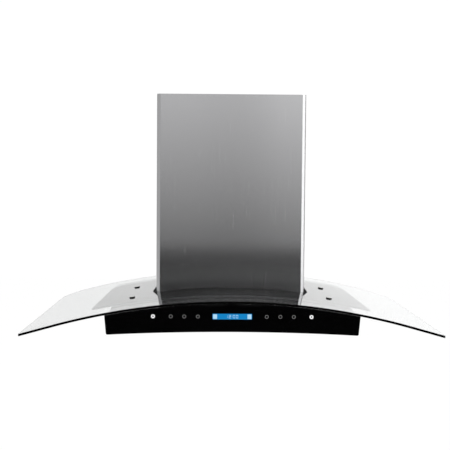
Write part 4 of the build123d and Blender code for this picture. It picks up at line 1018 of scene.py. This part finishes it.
def arched_edge(foot_z):
    """The fascia's lower edge between its corners, from left to right."""
    radius = (FASCIA_FOOT_HALF**2 + FASCIA_ARCH**2) / (2 * FASCIA_ARCH)
    centre_z = foot_z + FASCIA_ARCH - radius
    reach = FASCIA_FOOT_HALF - 4 * FASCIA_CORNER
    return [(x, centre_z + sqrt(radius**2 - x**2), 0) for x in edge_xs(reach)]


def upper_edge(foot_z):
    """The fascia's upper edge under the glass, from right to left, between its sloping sides."""
    slope = (FASCIA_TOP_HALF - FASCIA_FOOT_HALF) / (CROWN_Z - foot_z)
    side_x = FASCIA_TOP_HALF
    for _ in range(8):
        side_x = FASCIA_FOOT_HALF + slope * (glass_height(side_x, FASCIA_DEPTH) - foot_z)
    return [(-x, glass_height(x, FASCIA_DEPTH), 0) for x in edge_xs(side_x)]


def window(x, half_x, half_z, corner):
    """An outline about the line of the controls."""
    return rectangle(x - half_x, CONTROL_Z - half_z, x + half_x, CONTROL_Z + half_z, corner)


def make_fascia():
    """The black glass, with its arched foot and the opening for the display."""
    low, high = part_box("fascia_panel")
    left, right = ((x, low.z, FASCIA_CORNER) for x in (-FASCIA_FOOT_HALF, FASCIA_FOOT_HALF))
    outline = rounded([left, *arched_edge(low.z), right, *upper_edge(low.z)])
    opening = window(DISPLAY_X, DISPLAY_HALF_X, DISPLAY_HALF_Z, 1.2 * MM)
    bm = slab([outline, opening], 0, low.y - high.y, 0.4 * MM)
    piece = keep("fascia_glass", stand_up(bm, low.y))
    dress(weigh(smooth(piece)), "fascia_panel")


def make_display():
    """The lit panel in the opening, with a field at each end and a clock."""
    face_y = FASCIA_FACE_Y + DISPLAY_INSET
    halves = DISPLAY_HALF_X - DISPLAY_INSET, DISPLAY_HALF_Z - DISPLAY_INSET
    panel = slab([window(DISPLAY_X, *halves, 1.1 * MM)], 0, -DISPLAY_DEPTH, 0.2 * MM)
    piece = keep("display_panel", stand_up(panel, face_y))
    dress(smooth(piece), "display_window")
    bm = bmesh.new()
    for side in (-1, 1):
        x = DISPLAY_X + side * (DISPLAY_HALF_X - FIELD_HALF - FIELD_MARGIN)
        add_print(bm, window(x, FIELD_HALF, DISPLAY_HALF_Z - FIELD_MARGIN, 0.5 * MM))
    cursor = FIRST_FIGURE_X
    for figure in "12:00":
        cursor = add_figure(bm, figure, cursor, CONTROL_Z - FIGURE_HEIGHT / 2)
    piece = keep("display_figures", stand_up(bm, face_y))
    dress(piece, "display_window", PALE_LIGHT, printed=True)


def add_print(bm, outline):
    """A flat mark that stands a little out of the face it is on."""
    add(bm, slab([outline], PRINT_LIFT, -PRINT_LIFT))


def add_figure(bm, figure, x, z):
    """Draw a seven-segment figure and return where the next one starts."""
    if figure == ":":
        for share in (0.25, 0.65):
            low = z + share * FIGURE_HEIGHT
            add_print(bm, rectangle(x, low, x + STROKE, low + STROKE))
        return x + COLON_SPACE
    right, top = x + FIGURE_WIDTH, z + FIGURE_HEIGHT
    middle = (z + top - STROKE) / 2
    inner = right - STROKE
    upper = (middle + STROKE + STROKE_GAP, top - STROKE - STROKE_GAP)
    lower = (z + STROKE + STROKE_GAP, middle - STROKE_GAP)
    bars = {
        "a": (x, top - STROKE, right, top),
        "b": (inner, upper[0], right, upper[1]),
        "c": (inner, lower[0], right, lower[1]),
        "d": (x, z, right, z + STROKE),
        "e": (x, lower[0], x + STROKE, lower[1]),
        "f": (x, upper[0], x + STROKE, upper[1]),
        "g": (x, middle, right, middle + STROKE),
    }
    for letter in SEGMENTS[figure]:
        add_print(bm, rectangle(*bars[letter]))
    return right + FIGURE_SPACE


def make_touch_marks():
    """Printed rings: the two outer keys are lit, the six others grey."""
    for name, material, keys, radius, stroke in TOUCH_MARKS:
        bm = bmesh.new()
        for key in keys:
            x = TOUCH_XS[key] * MM
            rings = [circle(x, CONTROL_Z, size * MM) for size in (radius, radius - stroke)]
            add(bm, slab(rings, PRINT_LIFT, 0))
        piece = keep(name, stand_up(bm, FASCIA_FACE_Y))
        dress(piece, "fascia_panel", material, printed=True)


# ---- surroundings ----
WHITE = (1, 1, 1, 1)
FLOOR_Z = -0.95
FLOOR_HALF = 6.0
FLOOR_WHITE = 1.06  # to the eye
FLOOR_TONES = ((0.015, 0.85), (-2.4, -0.2))  # as it is mirrored, and at which y
WHITE_SHARE = 0.85  # of the floor that is plain white to the eye; the rest takes the shadow
SEEN_BY_METAL = 0.25  # of the white that metal sees through the glass in front of it
WORLD_WHITE = 1.02
AMBIENT = 0.75  # what reaches dull surfaces
# the studio as metal and glass mirror it
FRONT_TONES = (0.085, 0.01)  # past the card, below and above level
HIGH_TONE = 0.6  # what comes to that high up
LEFT_TONE, RIGHT_TONE = 0.58, 2.3
BACK_TONES = (0.98, 1.2)  # left and right, of the wall behind
EDGE_TONES = (0.55, 0.02)  # of that wall far to each side, in the cover's last edges
CARD_Y = -0.52
CARD_HALF = (0.55, 0.45)
CARD_MIDDLE_Z = 0.25
CARD_FOOT = (-0.085, -0.035)  # the card comes in between these heights
CARD_TONES = ((-0.1, 0.33), (-0.03, 0.245), (0.32, 0.64), (0.7, 0.9))  # heights and tones


def ray_kinds(tree):
    """Two flags: rays that carry on the camera's view, also through glass, and rays that mirror."""
    path = node(tree, "ShaderNodeLightPath").outputs
    unmirrored = spread(tree, path["Glossy Depth"], 1.0, SEEN_BY_METAL).clamp(SEEN_BY_METAL, 1.0)
    through = unmirrored * path["Is Transmission Ray"]
    plain = through.work("MAXIMUM", path["Is Camera Ray"])
    return plain, Term(tree, path["Is Glossy Ray"]) * (plain * -1.0 + 1.0)


def grid(name):
    """A level square, a metre wide."""
    bm = bmesh.new()
    bmesh.ops.create_grid(bm, x_segments=4, y_segments=4, size=0.5)
    piece = keep(name, bm)
    return piece


def blend_surface(tree, share, surface, strength):
    """Put a shine over another surface, by a share."""
    shine = node(tree, "ShaderNodeEmission", {"Color": WHITE, "Strength": strength})
    mix = node(tree, "ShaderNodeMixShader", {0: share, 1: surface.outputs[0], 2: shine.outputs[0]})
    tree.links.new(mix.outputs[0], tree.nodes["Material Output"].inputs["Surface"])


def make_floor():
    """Pale and plain to the eye, and dark in front of the hood to what mirrors it."""
    floor = grid("floor")
    floor.data.transform(Matrix.Translation((0, 0, FLOOR_Z)) @ Matrix.Scale(2 * FLOOR_HALF, 4))
    material, tree, shader = finish("pale_floor", (0.85, 0.85, 0.85), 0.9)
    plain, mirroring = ray_kinds(tree)
    mirrored = ease(tree, object_axes(tree)["Y"], *FLOOR_TONES)
    strength = plain * FLOOR_WHITE + mirroring * mirrored
    blend_surface(tree, plain * WHITE_SHARE + mirroring, shader, strength)
    floor.data.materials.append(material)


def mirrored_studio(tree):
    """What metal and glass mirror: dark low in front, a pale wall behind, a bright right side."""
    way = node(tree, "ShaderNodeTexCoord").outputs["Generated"]
    x, y, z = node(tree, "ShaderNodeSeparateXYZ", {0: way}).outputs
    front = ease(tree, z, FRONT_TONES, (-0.06, 0.03)) + ease(tree, z, (0.0, HIGH_TONE), (0.35, 0.7))
    sides = spread(tree, x, LEFT_TONE, RIGHT_TONE, -0.5, 0.5)
    back = spread(tree, x, *BACK_TONES, -0.17, 0.22)
    back = back * ease(tree, x, (1.0, EDGE_TONES[1]), (0.3, 0.45))
    back = back * ease(tree, x, (EDGE_TONES[0], 1.0), (-0.45, -0.3))
    mirrored = front + (sides - front) * ease(tree, y, (0.0, 1.0), (-0.8, -0.3))
    return mirrored + (back - mirrored) * ease(tree, y, (0.0, 1.0), (0.08, 0.3))


def make_world():
    """White to the eye and through glass, a studio to metal, and even light to the rest."""
    world = bpy.data.worlds.new("studio")
    bpy.context.scene.world = world
    world.use_nodes = True
    tree = world.node_tree
    tree.nodes.clear()
    plain, mirroring = ray_kinds(tree)
    strength = plain * WORLD_WHITE + mirroring * mirrored_studio(tree)
    strength = strength + (plain + mirroring) * -AMBIENT + AMBIENT
    shine = node(tree, "ShaderNodeBackground", {"Color": WHITE, "Strength": strength})
    output = node(tree, "ShaderNodeOutputWorld")
    tree.links.new(shine.outputs[0], output.inputs["Surface"])
    world.cycles.sampling_method = "NONE"


def card_tone(tree, x, z):
    """The card's brightness: it rises with height, and differs a little from side to side."""
    tone = None
    for (low, dim), (high, bright) in zip(CARD_TONES, CARD_TONES[1:]):
        rise = spread(tree, z, 0.0, bright - dim, low, high)
        tone = tone + rise if tone else rise + dim
    tone = tone * ease(tree, x, (1.0, 1.24), (0.06, 0.13))
    return tone * ease(tree, x, (1.08, 1.0), (-0.1, -0.02))


def make_card():
    """A graded card close in front of the cover, which only mirroring surfaces see."""
    card = grid("graded_card")
    size = Matrix.Diagonal((2 * CARD_HALF[0], 2 * CARD_HALF[1], 1, 1))
    upright = Matrix.Translation((0, CARD_Y, CARD_MIDDLE_Z)) @ Matrix.Rotation(radians(90), 4, "X")
    card.data.transform(upright @ size)
    material, tree, _ = finish("graded_card", (0, 0, 0), 1.0)
    x, _, z = object_axes(tree)
    fade = ease(tree, Term(tree, x).work("ABSOLUTE"), (1.0, 0.0), (0.4, 0.52))
    fade = fade * ease(tree, z, (1.0, 0.0), (0.4, 0.68))
    fade = fade * ease(tree, z, (0.0, 1.0), CARD_FOOT)
    clear = node(tree, "ShaderNodeBsdfTransparent")
    blend_surface(tree, ray_kinds(tree)[1] * fade, clear, card_tone(tree, x, z))
    material.cycles.emission_sampling = "NONE"
    card.data.materials.append(material)


def softbox(name, place, target, size, power, mirrored=True):
    """A studio lamp with a wide face, turned to the hood."""
    lamp = bpy.data.lights.new(name, "AREA")
    lamp.shape = "RECTANGLE"
    lamp.size, lamp.size_y = size
    lamp.energy = power
    holder = link(name, lamp)
    holder.visible_glossy = mirrored
    holder.location = place
    way = Vector(target) - Vector(place)
    holder.rotation_euler = way.to_track_quat("-Z", "Y").to_euler()


def make_lights():
    """One lamp that metal mirrors, and two that it does not."""
    softbox("high_front_box", (0.3, -1.5, 1.9), (0, -0.3, 0.1), (1.6, 0.8), 22, mirrored=False)
    softbox("right_box", (2.0, -1.6, 0.4), (0, -0.2, 0.1), (1.0, 2.0), 10)
    softbox("left_front_box", (-1.9, -1.7, 0.6), (0, -0.2, 0.1), (0.5, 1.8), 14, mirrored=False)


def make_camera():
    """The camera of the photograph, as its vanishing lines give it."""
    camera = bpy.data.cameras.new("camera")
    camera.sensor_width = SENSOR_WIDTH
    camera.lens = FOCAL_PIXELS * SENSOR_WIDTH / IMAGE_WIDTH
    camera.shift_x = 0.5 - PRINCIPAL_POINT[0] / IMAGE_WIDTH
    camera.shift_y = PRINCIPAL_POINT[1] / IMAGE_WIDTH - 0.5
    camera.clip_start, camera.clip_end = 0.05, 100
    forward = Vector((sin(YAW) * cos(PITCH), cos(YAW) * cos(PITCH), -sin(PITCH)))
    right = Vector((cos(YAW), -sin(YAW), 0))
    level = Matrix((right, right.cross(forward), -forward)).transposed()
    axes = level @ Matrix.Rotation(-ROLL, 3, "Z")
    holder = link("camera", camera)
    holder.matrix_world = Matrix.Translation(EYE) @ axes.to_4x4()
    bpy.context.scene.camera = holder


# ---- the scene ----
paint_nodes()
make_glass_and_gasket()
make_caps()
make_front_cover()
make_cover("lower_chimney", "chimney_cover_lower", LOWER_LIP)
make_cover("upper_chimney", "chimney_cover_upper", UPPER_LIP)
make_fascia()
make_display()
make_touch_marks()
make_small_screws()
for side in ("left", "right"):
    make_baffles(side)
    make_latch_spring(side)
make_lenses()
finish_nodes()
make_floor()
make_card()
make_world()
make_lights()
make_camera()

bpy.context.scene.view_settings.view_transform = "Standard"
